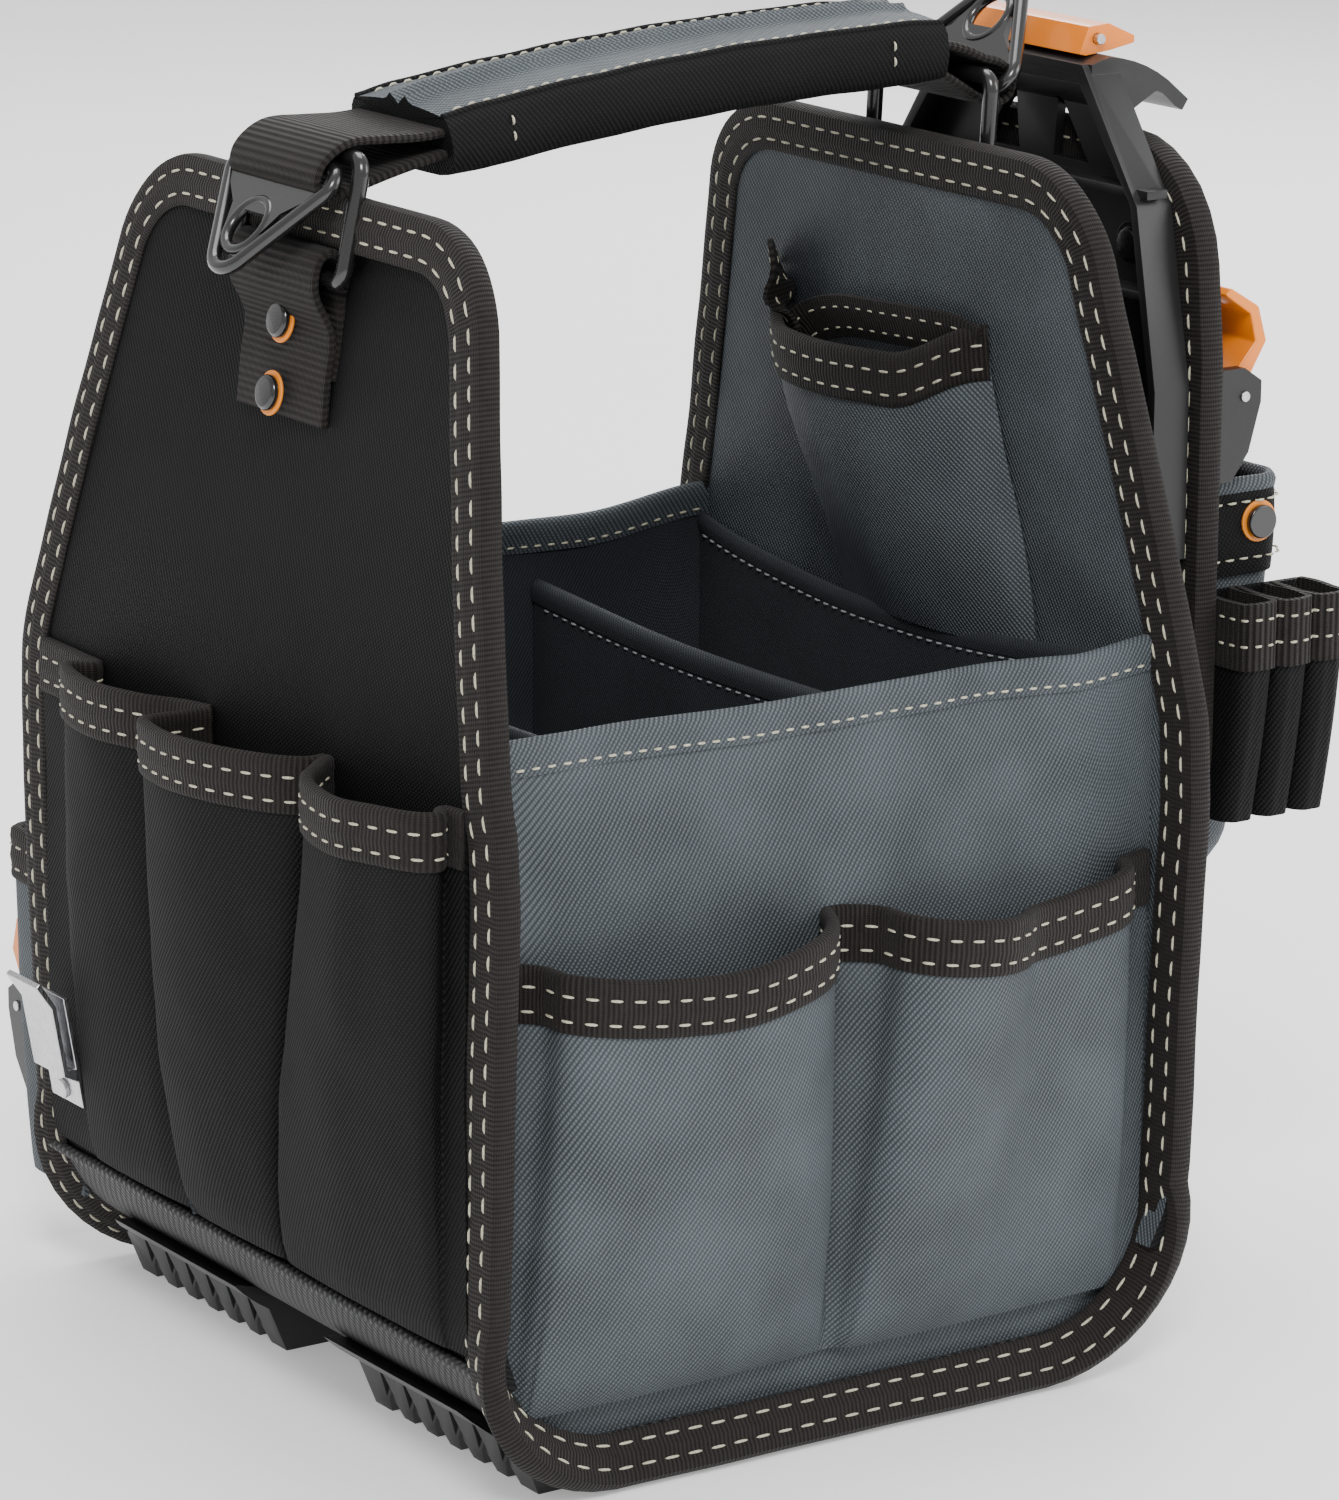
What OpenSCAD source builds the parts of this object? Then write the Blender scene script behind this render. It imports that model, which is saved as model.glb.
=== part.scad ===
// Soft-sided tool bucket organizer: an open-top carrier with two stiff end panels, fabric side walls,
// a padded carry handle and a lift-off tool pouch that hangs on a hub at the rear.
// X runs from the front end panel to the pouch, Y across the bag, Z up. The feet stand on Z = 0.

/* [Bag] */
// Length of the bag over its two end panels
bag_l = 224; // [200:1:250]
// Half the width of an end panel at its foot
foot_half = 121; // [112:1:130]
// Half the width of an end panel at its shoulders
shoulder_half = 126; // [118:1:136]
// Half the width of an end panel at its top edge
top_half = 89; // [80:1:96]
// Height of the shoulders
shoulder_z = 178; // [165:1:190]
// Height of the end panels
panel_top = 329; // [310:1:345]
// Height of the side walls
wall_top = 205; // [196:1:215]
// Inward lean of the front panel at its top edge
front_lean = 24; // [14:1:28]
// Inward lean of the rear panel at its top edge
rear_lean = 12; // [8:1:16]
// Thickness of an end panel
panel_t = 5; // [4:0.5:6]
// Outer radius where the end panels turn into the base
corner_r = 42; // [36:1:46]
// Height of the base fabric above the ground
base_z = 12; // [11:1:14]
// Width of the edge binding tape
bind_w = 13; // [11:1:16]

/* [Pockets] */
// Height of the two pockets on the right wall
right_pocket_top = 145; // [130:1:160]
// How far the right pockets stand out at the top
right_pocket_out = 25; // [16:1:28]
// Height of the front pockets
front_pocket_top = 187; // [170:1:190]
// How far the front pockets stand out at the top
front_pocket_out = 26; // [20:1:28]
// Height of the box pocket on the left wall
left_pocket_top = 124; // [116:1:134]
// How far the box pocket stands out
left_pocket_out = 46; // [38:1:50]
// Width of the pocket binding tape
tape_w = 14; // [12:1:16]

/* [Handle] */
// Width of the handle webbing
web_w = 45; // [40:1:48]
// Width of the padded grip
grip_w = 52; // [48:1:56]
// Thickness of the padded grip
grip_t = 19; // [16:1:20]
// Wire diameter of the rectangular rings
wire_d = 4.6; // [4:0.2:5]
// Length of the strap rings from bar to tip
strap_ring_l = 30; // [26:1:34]

/* [Pouch] */
// Half the width of the pouch back panel
pouch_half = 74; // [70:1:80]
// Height of the pouch back panel
pouch_top = 328; // [318:1:332]
// Height of the pouch's lower edge
pouch_bottom = 98; // [90:1:110]
// Height of the pouch pocket's cuff
cuff_top = 231; // [222:1:236]
// How far the pouch pocket stands out from its back panel
pouch_out = 33; // [30:1:36]

/* [Hidden] */
$fn = 48;

gap = 0.4;
wall_y = foot_half - bind_w;
wall_t = 2.5;
hem_h = 9;
cloth_t = 2;
tape_t = 3;
lean_z = wall_top;
lean_span = panel_top - lean_z;
panel_foot_z = base_z + corner_r;
top_corner_r = 34;
skirt_z = 2;
skirt_t = 3;
wrap_top = 40;
divider_top = 186;
front_divider_x = 0.295 * bag_l;
rear_divider_x = 0.7 * bag_l;
divider_t = 4;
lining_gap = 8;
lining_top = 195;
pocket_root = 4;
side_pocket_foot = 44;
front_pocket_foot = panel_foot_z + 4;
board_top = base_z + 7;

// hub and pouch stations along X
rail_x = 234;
bracket_x = 248.5;
bracket_t = 12;
pouch_x = bracket_x + bracket_t;
pouch_t = 10;
front_x = pouch_x + pouch_t;
sleeve_w = 12;
sleeve_pitch = sleeve_w + 0.6;

// the bag's own frame moves to the centre of the whole object's box
clip_reach = 23;
clip_inset = 3.2;
reach_front = -(front_pocket_out + 0.5);
reach_rear = front_x + 0.5 + 3 * sleeve_pitch - 0.6;
reach_right = -(wall_y + right_pocket_out + 0.5);
reach_left = wall_y + left_pocket_out - clip_inset + clip_reach;
row_x = -(reach_front + reach_rear) / 2;
row_y = -(reach_right + reach_left) / 2;

// handle fittings, in the bag's XZ plane
front_fold = [14.5, 335.5];
front_bar = [21, 340];
front_low = [14.4, 308.5];
rear_fold = [228, 343.5];
rear_bar = [221.5, 346];
rear_low = [219.6, 311.5];
bar_r = 1.6;

function front_face(z) = z <= lean_z ? 0 : front_lean * (z - lean_z) / lean_span;
function rear_face(z) = bag_l - (z <= lean_z ? 0 : rear_lean * (z - lean_z) / lean_span);
function arc(c, r, a0, a1, n) = [for (i = [0:n]) let (a = a0 + (a1 - a0) * i / n) c + r * [cos(a), sin(a)]];
function flip(points) = [for (i = [len(points) - 1:-1:0]) points[i]];
function mirror_y(points) = flip([for (p = points) [-p[0], p[1]]]);

// section of the strip that makes both end panels and the base, at depth d below its outer face
function strip_side(d, lean) = concat(
    [[lean + d, panel_top], [d, lean_z]],
    arc([corner_r, base_z + corner_r], corner_r - d, 180, 270, 12));
function strip(d) = concat(
    strip_side(d, front_lean),
    flip([for (p = strip_side(d, rear_lean)) [bag_l - p[0], p[1]]]));

// half outline of an end panel seen along X, inset by d
function half_outline(d) = let (slope = atan2(shoulder_half - top_half, panel_top - shoulder_z)) concat(
    [[foot_half - d, 0], [foot_half - d, panel_foot_z], [shoulder_half - d, shoulder_z - 14],
     [shoulder_half - d - 1, shoulder_z + 6]],
    arc([top_half - top_corner_r + 4, panel_top - top_corner_r], top_corner_r - d, slope * 0.75, 90, 10));

module in_row() {
    translate([row_x, row_y, 0]) children();
}

// a YZ shape drawn along X
module along_x(x0, x1) {
    translate([x0, 0, 0]) rotate([90, 0, 90]) linear_extrude(x1 - x0) children();
}

// an XZ shape drawn along Y
module along_y(y0, y1) {
    translate([0, y1, 0]) rotate([90, 0, 0]) linear_extrude(y1 - y0) children();
}

module box(low, high) {
    translate(low) cube(high - low);
}

module panel_shape(inset) {
    polygon(concat(half_outline(inset), mirror_y(half_outline(inset))));
}

module strip_shape(d0, d1) {
    polygon(concat(strip(d0), flip(strip(d1))));
}

module end_zone(front, low) {
    zone = 60;
    if (front) box([-20, -200, low], [zone, 200, panel_top + 20]);
    else box([bag_l - zone, -200, low], [bag_l + 20, 200, panel_top + 20]);
}

module end_panel(front) {
    intersection() {
        along_x(-20, bag_l + 20) panel_shape(bind_w);
        along_y(-200, 200) strip_shape(0, panel_t);
        end_zone(front, wrap_top);
    }
}

module front_panel() color([0.16, 0.16, 0.17]) in_row() end_panel(true);

module rear_panel() color([0.34, 0.38, 0.41]) in_row() end_panel(false);

module base_wrap() color([0.2, 0.2, 0.21]) in_row() intersection() {
    along_y(-wall_y, wall_y) strip_shape(0, panel_t);
    box([-20, -200, 0], [bag_l + 20, 200, wrap_top]);
}

module base_board() color([0.12, 0.12, 0.13]) in_row()
    box([corner_r, -wall_y + 3, base_z + panel_t], [bag_l - corner_r, wall_y - 3, board_top]);

// hemmed side wall on the right, mirrored for the left
module side_wall() {
    box([panel_t, -wall_y, base_z + panel_t], [bag_l - panel_t, -wall_y + wall_t, wall_top - hem_h]);
    box([panel_t, -wall_y - 1, wall_top - hem_h], [bag_l - panel_t, -wall_y + wall_t + 1, wall_top]);
}

module wall_zone() difference() {
    children();
    along_y(-200, 200) difference() {
        translate([-20, 0]) square([bag_l + 40, panel_foot_z]);
        polygon(concat([[panel_t, panel_foot_z + 1]], strip_side(panel_t, front_lean),
            flip([for (p = strip_side(panel_t, rear_lean)) [bag_l - p[0], p[1]]]),
            [[bag_l - panel_t, panel_foot_z + 1]]));
    }
}

module right_wall() color([0.41, 0.45, 0.47]) in_row() wall_zone() side_wall();

module left_wall() color([0.41, 0.45, 0.47]) in_row() wall_zone() mirror([0, 1, 0]) side_wall();

// the tape's flange turns from the panel's plane into the wall's plane round each bottom corner
module flange_section(turn) {
    thick = panel_t + (skirt_t - panel_t) * sin(turn);
    out = bind_w * [sin(turn), cos(turn)];
    inward = thick * [-cos(turn), sin(turn)];
    start = [corner_r - (skirt_z + bind_w - base_z) * sin(turn), wall_y];
    polygon([start, start + out, start + out + inward, start + inward]);
}

module corner_flange() {
    step = 30;
    translate([corner_r, 0, panel_foot_z]) rotate([90, 0, 0]) for (a = [0:step:60])
        rotate([0, 0, 180 + a]) rotate_extrude(angle = step) flange_section(a + step / 2);
}

module skirt() {
    box([corner_r, -wall_y - skirt_t, skirt_z], [bag_l - corner_r, -wall_y, skirt_z + bind_w]);
}

module end_binding(front) {
    intersection() {
        along_x(-20, bag_l + 20) difference() {
            panel_shape(0);
            panel_shape(bind_w);
        }
        along_y(-200, 200) strip_shape(0, panel_t);
        end_zone(front, panel_foot_z);
    }
}

module front_binding() color([0.17, 0.15, 0.14]) in_row() end_binding(true);

module rear_binding() color([0.17, 0.15, 0.14]) in_row() end_binding(false);

module base_binding() color([0.17, 0.15, 0.14]) in_row() {
    for (s = [0, 1]) mirror([0, s, 0]) {
        skirt();
        corner_flange();
        translate([bag_l, 0, 0]) mirror([1, 0, 0]) corner_flange();
    }
}

module divider(x) {
    box([x, -wall_y + 4, board_top], [x + divider_t, wall_y - 4, divider_top]);
}

module front_divider() color([0.26, 0.29, 0.31]) in_row() divider(front_divider_x);

module rear_divider() color([0.26, 0.29, 0.31]) in_row() divider(rear_divider_x);

// flat pocket sewn across the rear panel's inner face, open at its top
module rear_lining() color([0.3, 0.34, 0.37]) in_row() {
    front_of = bag_l - panel_t - lining_gap;
    back_of = front_of + cloth_t;
    low_z = panel_foot_z + 4;
    edge = 3;
    box([front_of, -wall_y + 4, low_z], [back_of, wall_y - 4, lining_top]);
    box([back_of, -wall_y + 4, low_z], [bag_l - panel_t, wall_y - 4, low_z + edge]);
    for (y = [-wall_y + 4, wall_y - 4 - edge])
        box([back_of, y, low_z + edge], [bag_l - panel_t, y + edge, lining_top]);
}

// open-topped pocket: runs along X from u0 to u1 and stands out towards -Y from d0 at its foot to d1
module cup(u0, u1, z0, z1, d0, d1, t, closed = true) {
    floor_t = closed ? t : -1;
    rotate([90, 0, 90]) translate([0, 0, u0]) difference() {
        linear_extrude(u1 - u0) polygon([[0, z0], [-d0, z0], [-d1, z1], [0, z1]]);
        translate([0, 0, t]) linear_extrude(u1 - u0 - 2 * t)
            polygon([[1, z0 + floor_t], [-d0 + t, z0 + floor_t], [-d1 + t, z1 + 0.1], [1, z1 + 0.1]]);
    }
}

// cup below its tape, and the tape round the cup's mouth
module cup_body(u0, u1, z0, z1, d0, d1, t) {
    cut = tape_w / (z1 - z0);
    cup(u0, u1, z0, z1 - tape_w, d0, d1 - (d1 - d0) * cut, t);
}

module cup_tape(u0, u1, z0, z1, d0, d1, t) {
    cut = tape_w / (z1 - z0);
    cup(u0, u1, z1 - tape_w, z1, d1 - (d1 - d0) * cut + 0.5, d1 + 0.5, t, closed = false);
}

right_cups = [[panel_t + 3, bag_l / 2 - 1], [bag_l / 2 + 1, bag_l - panel_t - 3]];

module right_pockets() color([0.41, 0.45, 0.47]) in_row() translate([0, -wall_y, 0]) {
    for (c = right_cups)
        cup_body(c[0], c[1], side_pocket_foot, right_pocket_top, pocket_root, right_pocket_out, cloth_t);
}

module right_pocket_tape() color([0.17, 0.15, 0.14]) in_row() translate([0, -wall_y, 0]) {
    for (c = right_cups)
        cup_tape(c[0], c[1], side_pocket_foot, right_pocket_top, pocket_root, right_pocket_out, tape_t);
}

module on_left() {
    translate([0, wall_y, 0]) mirror([0, 1, 0]) children();
}

box_pocket = [8, 100];
plain_pocket = [105, bag_l - panel_t - 3];

box_pocket_root = left_pocket_out - 8;

module left_pockets() color([0.41, 0.45, 0.47]) in_row() on_left() {
    cup_body(box_pocket[0], box_pocket[1], side_pocket_foot, left_pocket_top, box_pocket_root,
        left_pocket_out, cloth_t);
    cup_body(plain_pocket[0], plain_pocket[1], side_pocket_foot, right_pocket_top, pocket_root,
        right_pocket_out, cloth_t);
}

module left_pocket_tape() color([0.17, 0.15, 0.14]) in_row() on_left() {
    cup_tape(box_pocket[0], box_pocket[1], side_pocket_foot, left_pocket_top, box_pocket_root,
        left_pocket_out, tape_t);
    cup_tape(plain_pocket[0], plain_pocket[1], side_pocket_foot, right_pocket_top, pocket_root,
        right_pocket_out, tape_t);
}

module on_front() {
    rotate([0, 0, -90]) children();
}

front_cups = [[-108, -18], [-16, 43], [45, 108]];

module front_pockets() color([0.16, 0.16, 0.17]) in_row() on_front() {
    for (c = front_cups)
        cup_body(c[0], c[1], front_pocket_foot, front_pocket_top, pocket_root, front_pocket_out, cloth_t);
}

module front_pocket_tape() color([0.17, 0.15, 0.14]) in_row() on_front() {
    for (c = front_cups)
        cup_tape(c[0], c[1], front_pocket_foot, front_pocket_top, pocket_root, front_pocket_out, tape_t);
}

// tapered pliers pocket on the rear panel's inner face
inner_lean = atan2(rear_lean, lean_span);

module on_rear_inside() {
    translate([bag_l - panel_t - 0.3, 0, lean_z]) rotate([0, -inner_lean, 0]) rotate([0, 0, -90]) children();
}

module inner_pocket() color([0.38, 0.42, 0.45]) in_row() on_rear_inside() difference() {
    cup(-56, 40, 3, 54, 8, 18, 2);
    translate([0, 0, 3]) rotate([0, 30, 0]) translate([-120, -60, -40]) cube([64, 80, 120]);
}

module inner_pocket_tape() color([0.17, 0.15, 0.14]) in_row() on_rear_inside()
    cup(-56, 40, 54, 54 + tape_w, 18.5, 20.5, 3, closed = false);

// moulded corner foot with wedge treads
foot_y = [24, 106];
foot_end = 70;
foot_top = 22;

module foot_shape() {
    difference() {
        intersection() {
            along_y(foot_y[0], foot_y[1]) polygon(concat(
                [[foot_end, 0], [foot_end, base_z], [27, base_z + 5], [9, foot_top]],
                arc([corner_r, base_z + corner_r], corner_r + 5, 223, 240, 4), [[24, 0]]));
            along_x(-10, foot_end + 1) polygon([[foot_y[0], 0], [foot_y[1], 0],
                [foot_y[1], foot_top - 10], [foot_y[1] - 14, foot_top], [foot_y[0], foot_top]]);
        }
        translate([corner_r, foot_y[1] + 1, base_z + corner_r]) rotate([90, 0, 0])
            cylinder(h = foot_y[1] - foot_y[0] + 2, r = corner_r, $fn = 96);
        box([corner_r, foot_y[0] - 1, base_z], [foot_end + 1, foot_y[1] + 1, base_z + 40]);
        for (i = [1:6]) {
            y = foot_y[0] + i * (foot_y[1] - foot_y[0]) / 7;
            translate([0, y, 0]) along_x(-10, foot_end + 1) polygon([[-3.6, -1], [3.6, -1], [0, 8]]);
            translate([0, y, 0]) along_x(-10, 22) polygon([[-4, -1], [4, -1], [0, 16]]);
        }
    }
}

module front_left_foot() color([0.1, 0.1, 0.1]) in_row() foot_shape();

module front_right_foot() color([0.1, 0.1, 0.1]) in_row() mirror([0, 1, 0]) foot_shape();

module rear_left_foot() color([0.1, 0.1, 0.1]) in_row()
    translate([bag_l, 0, 0]) mirror([1, 0, 0]) foot_shape();

module rear_right_foot() color([0.1, 0.1, 0.1]) in_row()
    translate([bag_l, 0, 0]) mirror([1, 0, 0]) mirror([0, 1, 0]) foot_shape();

// rivet heads that hold the feet, inside on the base board
module foot_rivets() color([0.5, 0.5, 0.52]) in_row()
    for (x = [52, bag_l - 52], y = [-88, -42, 42, 88]) translate([x, y, board_top]) {
        cylinder(h = 1.2, r = 5);
        translate([0, 0, 1.2]) cylinder(h = 1, r1 = 4.4, r2 = 3);
    }

// folded strap that holds a wire ring: strap along the panel and a tall loop round the ring's bar
module loop_shape(c, r, stretch) {
    for (z = [-stretch, stretch]) translate([c[0], c[1] + z]) circle(r);
    translate([c[0] - r, c[1] - stretch]) square([2 * r, 2 * stretch]);
}

module anchor_strap(front) {
    low = front ? front_low : rear_low;
    foot_z = 270;
    out = front ? -1 : 1;
    top_z = low[1] - 5;
    f0 = front ? front_face(foot_z) : rear_face(foot_z);
    f1 = front ? front_face(top_z) : rear_face(top_z);
    along_y(-web_w / 2, web_w / 2) difference() {
        union() {
            loop_shape(low, 4.8, 2.6);
            polygon(front
                ? [[f0, foot_z], [f1, top_z], [f1 - 5, top_z], [f0 - 4, foot_z]]
                : [[f0, foot_z], [f0 + 4, foot_z], [f1 + 5, top_z], [f1, top_z]]);
        }
        loop_shape(low, 3, 2.6);
    }
}

module front_anchor_strap() color([0.17, 0.15, 0.14]) in_row() anchor_strap(true);

module rear_anchor_strap() color([0.17, 0.15, 0.14]) in_row() anchor_strap(false);

anchor_rivet_z = [276, 295];

module on_anchor(front, z) {
    turn = front ? -90 + atan2(front_lean, lean_span) : 90 - inner_lean;
    x = front ? front_face(z) - 5 : rear_face(z) + 5;
    translate([x, 0, z]) rotate([0, turn, 0]) children();
}

module anchor_washers() color([0.95, 0.55, 0.1]) in_row()
    for (front = [true, false], z = anchor_rivet_z) on_anchor(front, z) cylinder(h = 0.8, r = 6);

module anchor_rivets() color([0.08, 0.08, 0.08]) in_row()
    for (front = [true, false], z = anchor_rivet_z) on_anchor(front, z) translate([0, 0, 0.8]) {
        cylinder(h = 1.4, r = 4.8);
        translate([0, 0, 1.4]) cylinder(h = 0.7, r1 = 4.8, r2 = 4);
    }

// steel clip for a tape measure on the left front pocket: a riveted plate and a leaf with a flared lip
tape_clip_y = [85, 103];
strip_t = 1.6;

pocket_slope = (front_pocket_out - pocket_root) / (front_pocket_top - front_pocket_foot);

function pocket_face(z) = -pocket_root - pocket_slope * (z - front_pocket_foot);

module tape_clip() color([0.75, 0.75, 0.77]) in_row() along_y(tape_clip_y[0], tape_clip_y[1]) polygon([
    [pocket_face(59), 59], [pocket_face(92), 92], [pocket_face(92) - strip_t, 92],
    [pocket_face(71) - strip_t, 71], [pocket_face(71) - 4, 71], [pocket_face(90) - 4, 90],
    [pocket_face(90) - 9, 97.5], [pocket_face(90) - 10.4, 96.4], [pocket_face(90) - 4 - strip_t, 89.4],
    [pocket_face(69) - 4 - strip_t, 69], [pocket_face(67) - strip_t, 67], [pocket_face(59) - strip_t, 59]]);

module tape_clip_rivet() color([0.6, 0.6, 0.62]) in_row()
    translate([pocket_face(63) - strip_t, (tape_clip_y[0] + tape_clip_y[1]) / 2, 63])
        rotate([0, -90 - atan(pocket_slope), 0]) cylinder(h = 1.4, r = 2.8);

// quick-release clip: faceted body with two ears, a steel pin and a three-facet lever
clip_pin_r = 1.5;
ear_t = 4;
clip_w = 30;

module clip_body() {
    difference() {
        along_x(-clip_w / 2, clip_w / 2) polygon([
            [0, -24], [-8, -24], [-14, -16], [-18, -2], [-18, 4], [-12, 8], [0, 8]]);
        along_x(-clip_w / 2 + ear_t, clip_w / 2 - ear_t) polygon([
            [-5, -14], [-20, -14], [-20, 10], [-5, 10]]);
        translate([-clip_w / 2 - 1, -12, 0]) rotate([0, 90, 0]) cylinder(h = clip_w + 2, r = clip_pin_r);
    }
}

module clip_pin() {
    translate([-clip_w / 2 - 0.8, -12, 0]) rotate([0, 90, 0]) cylinder(h = clip_w + 1.6, r = clip_pin_r);
}

module clip_lever() {
    half = clip_w / 2 - ear_t - gap;
    difference() {
        along_x(-half, half) polygon([
            [-8, -6], [-15, -6], [-17, 4], [-23, 14], [-20, 24], [-10, 30], [-8, 28], [-17, 22], [-19, 14],
            [-12, 6], [-8, 4]]);
        translate([-clip_w, -12, 0]) rotate([0, 90, 0]) cylinder(h = 2 * clip_w, r = clip_pin_r + 0.06);
    }
}

side_clip = [30, wall_y + left_pocket_out - clip_inset, 66];

module at_side_clip() {
    translate(side_clip) mirror([0, 1, 0]) children();
}

module side_clip_body() color([0.1, 0.1, 0.1]) in_row() at_side_clip() clip_body();

module side_clip_pin() color([0.75, 0.75, 0.77]) in_row() at_side_clip() clip_pin();

module side_clip_lever() color([1, 0.55, 0.02]) in_row() at_side_clip() clip_lever();

// hub on the rear panel: a wedge plate with a T rail that the pouch's bracket slides on
rail_low = 222;
rail_high = 262;

module hub_receiver() color([0.1, 0.1, 0.1]) in_row() {
    low = rail_low - 4;
    along_y(-26, 26) polygon([[rear_face(low), low], [rail_x, low], [rail_x, rail_high],
        [rear_face(rail_high), rail_high]]);
    box([rail_x, -8, rail_low], [rail_x + 6, 8, rail_high]);
    box([rail_x + 6, -14, rail_low], [rail_x + 10, 14, rail_high]);
}

module receiver_rivets() color([0.08, 0.08, 0.08]) in_row()
    for (y = [-23.2, 23.2], z = [rail_low + 1.5, rail_high - 5])
        translate([rail_x, y, z]) rotate([0, 90, 0]) cylinder(h = 1.6, r = 2.6);

// handle webbing: a band along the grip that folds round the rings at each end
function lerp2(a, b, t) = a + (b - a) * t;
grip_start = [47, 341];
grip_end = [208, 354];
grip_rise = 3;
function grip_mid(t) = lerp2(grip_start, grip_end, t) + [0, grip_rise * sin(180 * t)];
function grip_line(d) = [for (i = [0:12]) grip_mid(i / 12) + [0, d]];

fold_r = 5;

module web_shape() difference() {
    polygon(concat(
        [front_bar + [0, 5.4]], grip_line(2.5), [rear_bar + [0, 4.6]], arc(rear_fold, fold_r, 80, -80, 8),
        [rear_bar + [-5, -6]], flip(grip_line(-2.5)), [front_bar + [6, -6.2]],
        arc(front_fold, fold_r, -60, -260, 8)));
    for (c = [front_fold, rear_fold]) translate(c) circle(2.4);
    for (c = [front_bar, rear_bar]) translate(c) circle(wire_d / 2);
}

module handle_webbing() color([0.17, 0.15, 0.14]) in_row()
    along_y(-web_w / 2, web_w / 2) web_shape();

// padded sleeve round the webbing
module handle_grip() color([0.41, 0.46, 0.49]) in_row() difference() {
    along_y(-grip_w / 2, grip_w / 2) polygon(concat(grip_line(-grip_t / 2), flip(grip_line(grip_t / 2))));
    along_y(-web_w / 2 - 0.1, web_w / 2 + 0.1) polygon(concat(
        [grip_line(-2.6)[0] - [1, 0]], grip_line(-2.6), [grip_line(-2.6)[12] + [1, 0]],
        [grip_line(2.6)[12] + [1, 0]], flip(grip_line(2.6)), [grip_line(2.6)[0] - [1, 0]]));
}

// rectangular wire ring between two points of the XZ plane
wire_half = web_w / 2 + wire_d / 2 + 2.2;

module wire_ring(top, low) {
    run = top - low;
    tall = norm(run);
    translate([low[0], 0, low[1]]) rotate([0, atan2(run[0], run[1]), 0]) {
        bend = 4;
        for (z = [0, tall]) translate([0, wire_half - bend, z]) rotate([90, 0, 0])
            cylinder(h = 2 * (wire_half - bend), r = wire_d / 2);
        for (s = [-1, 1]) {
            translate([0, s * wire_half, bend]) cylinder(h = tall - 2 * bend, r = wire_d / 2);
            translate([0, s * (wire_half - bend), bend]) rotate([0, 90, 0]) rotate([0, 0, s > 0 ? 0 : 180])
                rotate([0, 0, s > 0 ? 0 : 90]) rotate_extrude(angle = 90) translate([bend, 0])
                circle(wire_d / 2);
            translate([0, s * (wire_half - bend), tall - bend]) rotate([0, 90, 0])
                rotate([0, 0, s > 0 ? 90 : 180]) rotate_extrude(angle = 90) translate([bend, 0])
                circle(wire_d / 2);
        }
    }
}

module front_wire_ring() color([0.06, 0.06, 0.06]) in_row() wire_ring(front_bar, front_low);

module rear_wire_ring() color([0.06, 0.06, 0.06]) in_row() wire_ring(rear_bar, rear_low);

// triangular strap ring: bar along Y at the origin, plate towards +X with a round eye
ring_half = 31;
plate_t = 2.6;
ring_corner = 5;
ring_tip = 9;
ring_back = -2.2;
eye_r = 6.6;

module strap_ring() {
    slot_half = web_w / 2 + 1.5;
    translate([0, slot_half + 1, 0]) rotate([90, 0, 0]) cylinder(h = 2 * slot_half + 2, r = bar_r);
    translate([0, 0, -plate_t / 2]) difference() {
        linear_extrude(plate_t) polygon(concat(
            [[ring_back, -ring_half + ring_corner]],
            arc([ring_back + ring_corner, -ring_half + ring_corner], ring_corner, 200, 250, 3),
            arc([strap_ring_l - ring_tip, 0], ring_tip, 305, 415, 8),
            arc([ring_back + ring_corner, ring_half - ring_corner], ring_corner, 110, 160, 3),
            [[ring_back, ring_half - ring_corner]]));
        translate([-4, -slot_half, -1]) cube([10, 2 * slot_half, plate_t + 2]);
        translate([strap_ring_l - ring_tip - 2, 0, -1]) cylinder(h = plate_t + 2, r = eye_r);
    }
}

front_ring_tilt = 130;
rear_ring_tilt = -50;

module front_strap_ring() color([0.06, 0.06, 0.06]) in_row()
    translate([front_fold[0], 0, front_fold[1]]) rotate([0, front_ring_tilt, 0]) strap_ring();

module rear_strap_ring() color([0.06, 0.06, 0.06]) in_row()
    translate([rear_fold[0], 0, rear_fold[1]]) rotate([0, rear_ring_tilt, 0]) strap_ring();

// pouch bracket: ribbed open back, channel for the rail and a curved grab hood
bracket_foot = 214;
bracket_peak = 348;

module bracket_outline(inset) {
    polygon([[-68 + inset, bracket_foot + inset], [68 - inset, bracket_foot + inset],
        [68 - inset, 262], [58 - inset, 312], [32 - inset, bracket_peak - inset],
        [-32 + inset, bracket_peak - inset], [-58 + inset, 312], [-68 + inset, 262]]);
}

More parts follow.
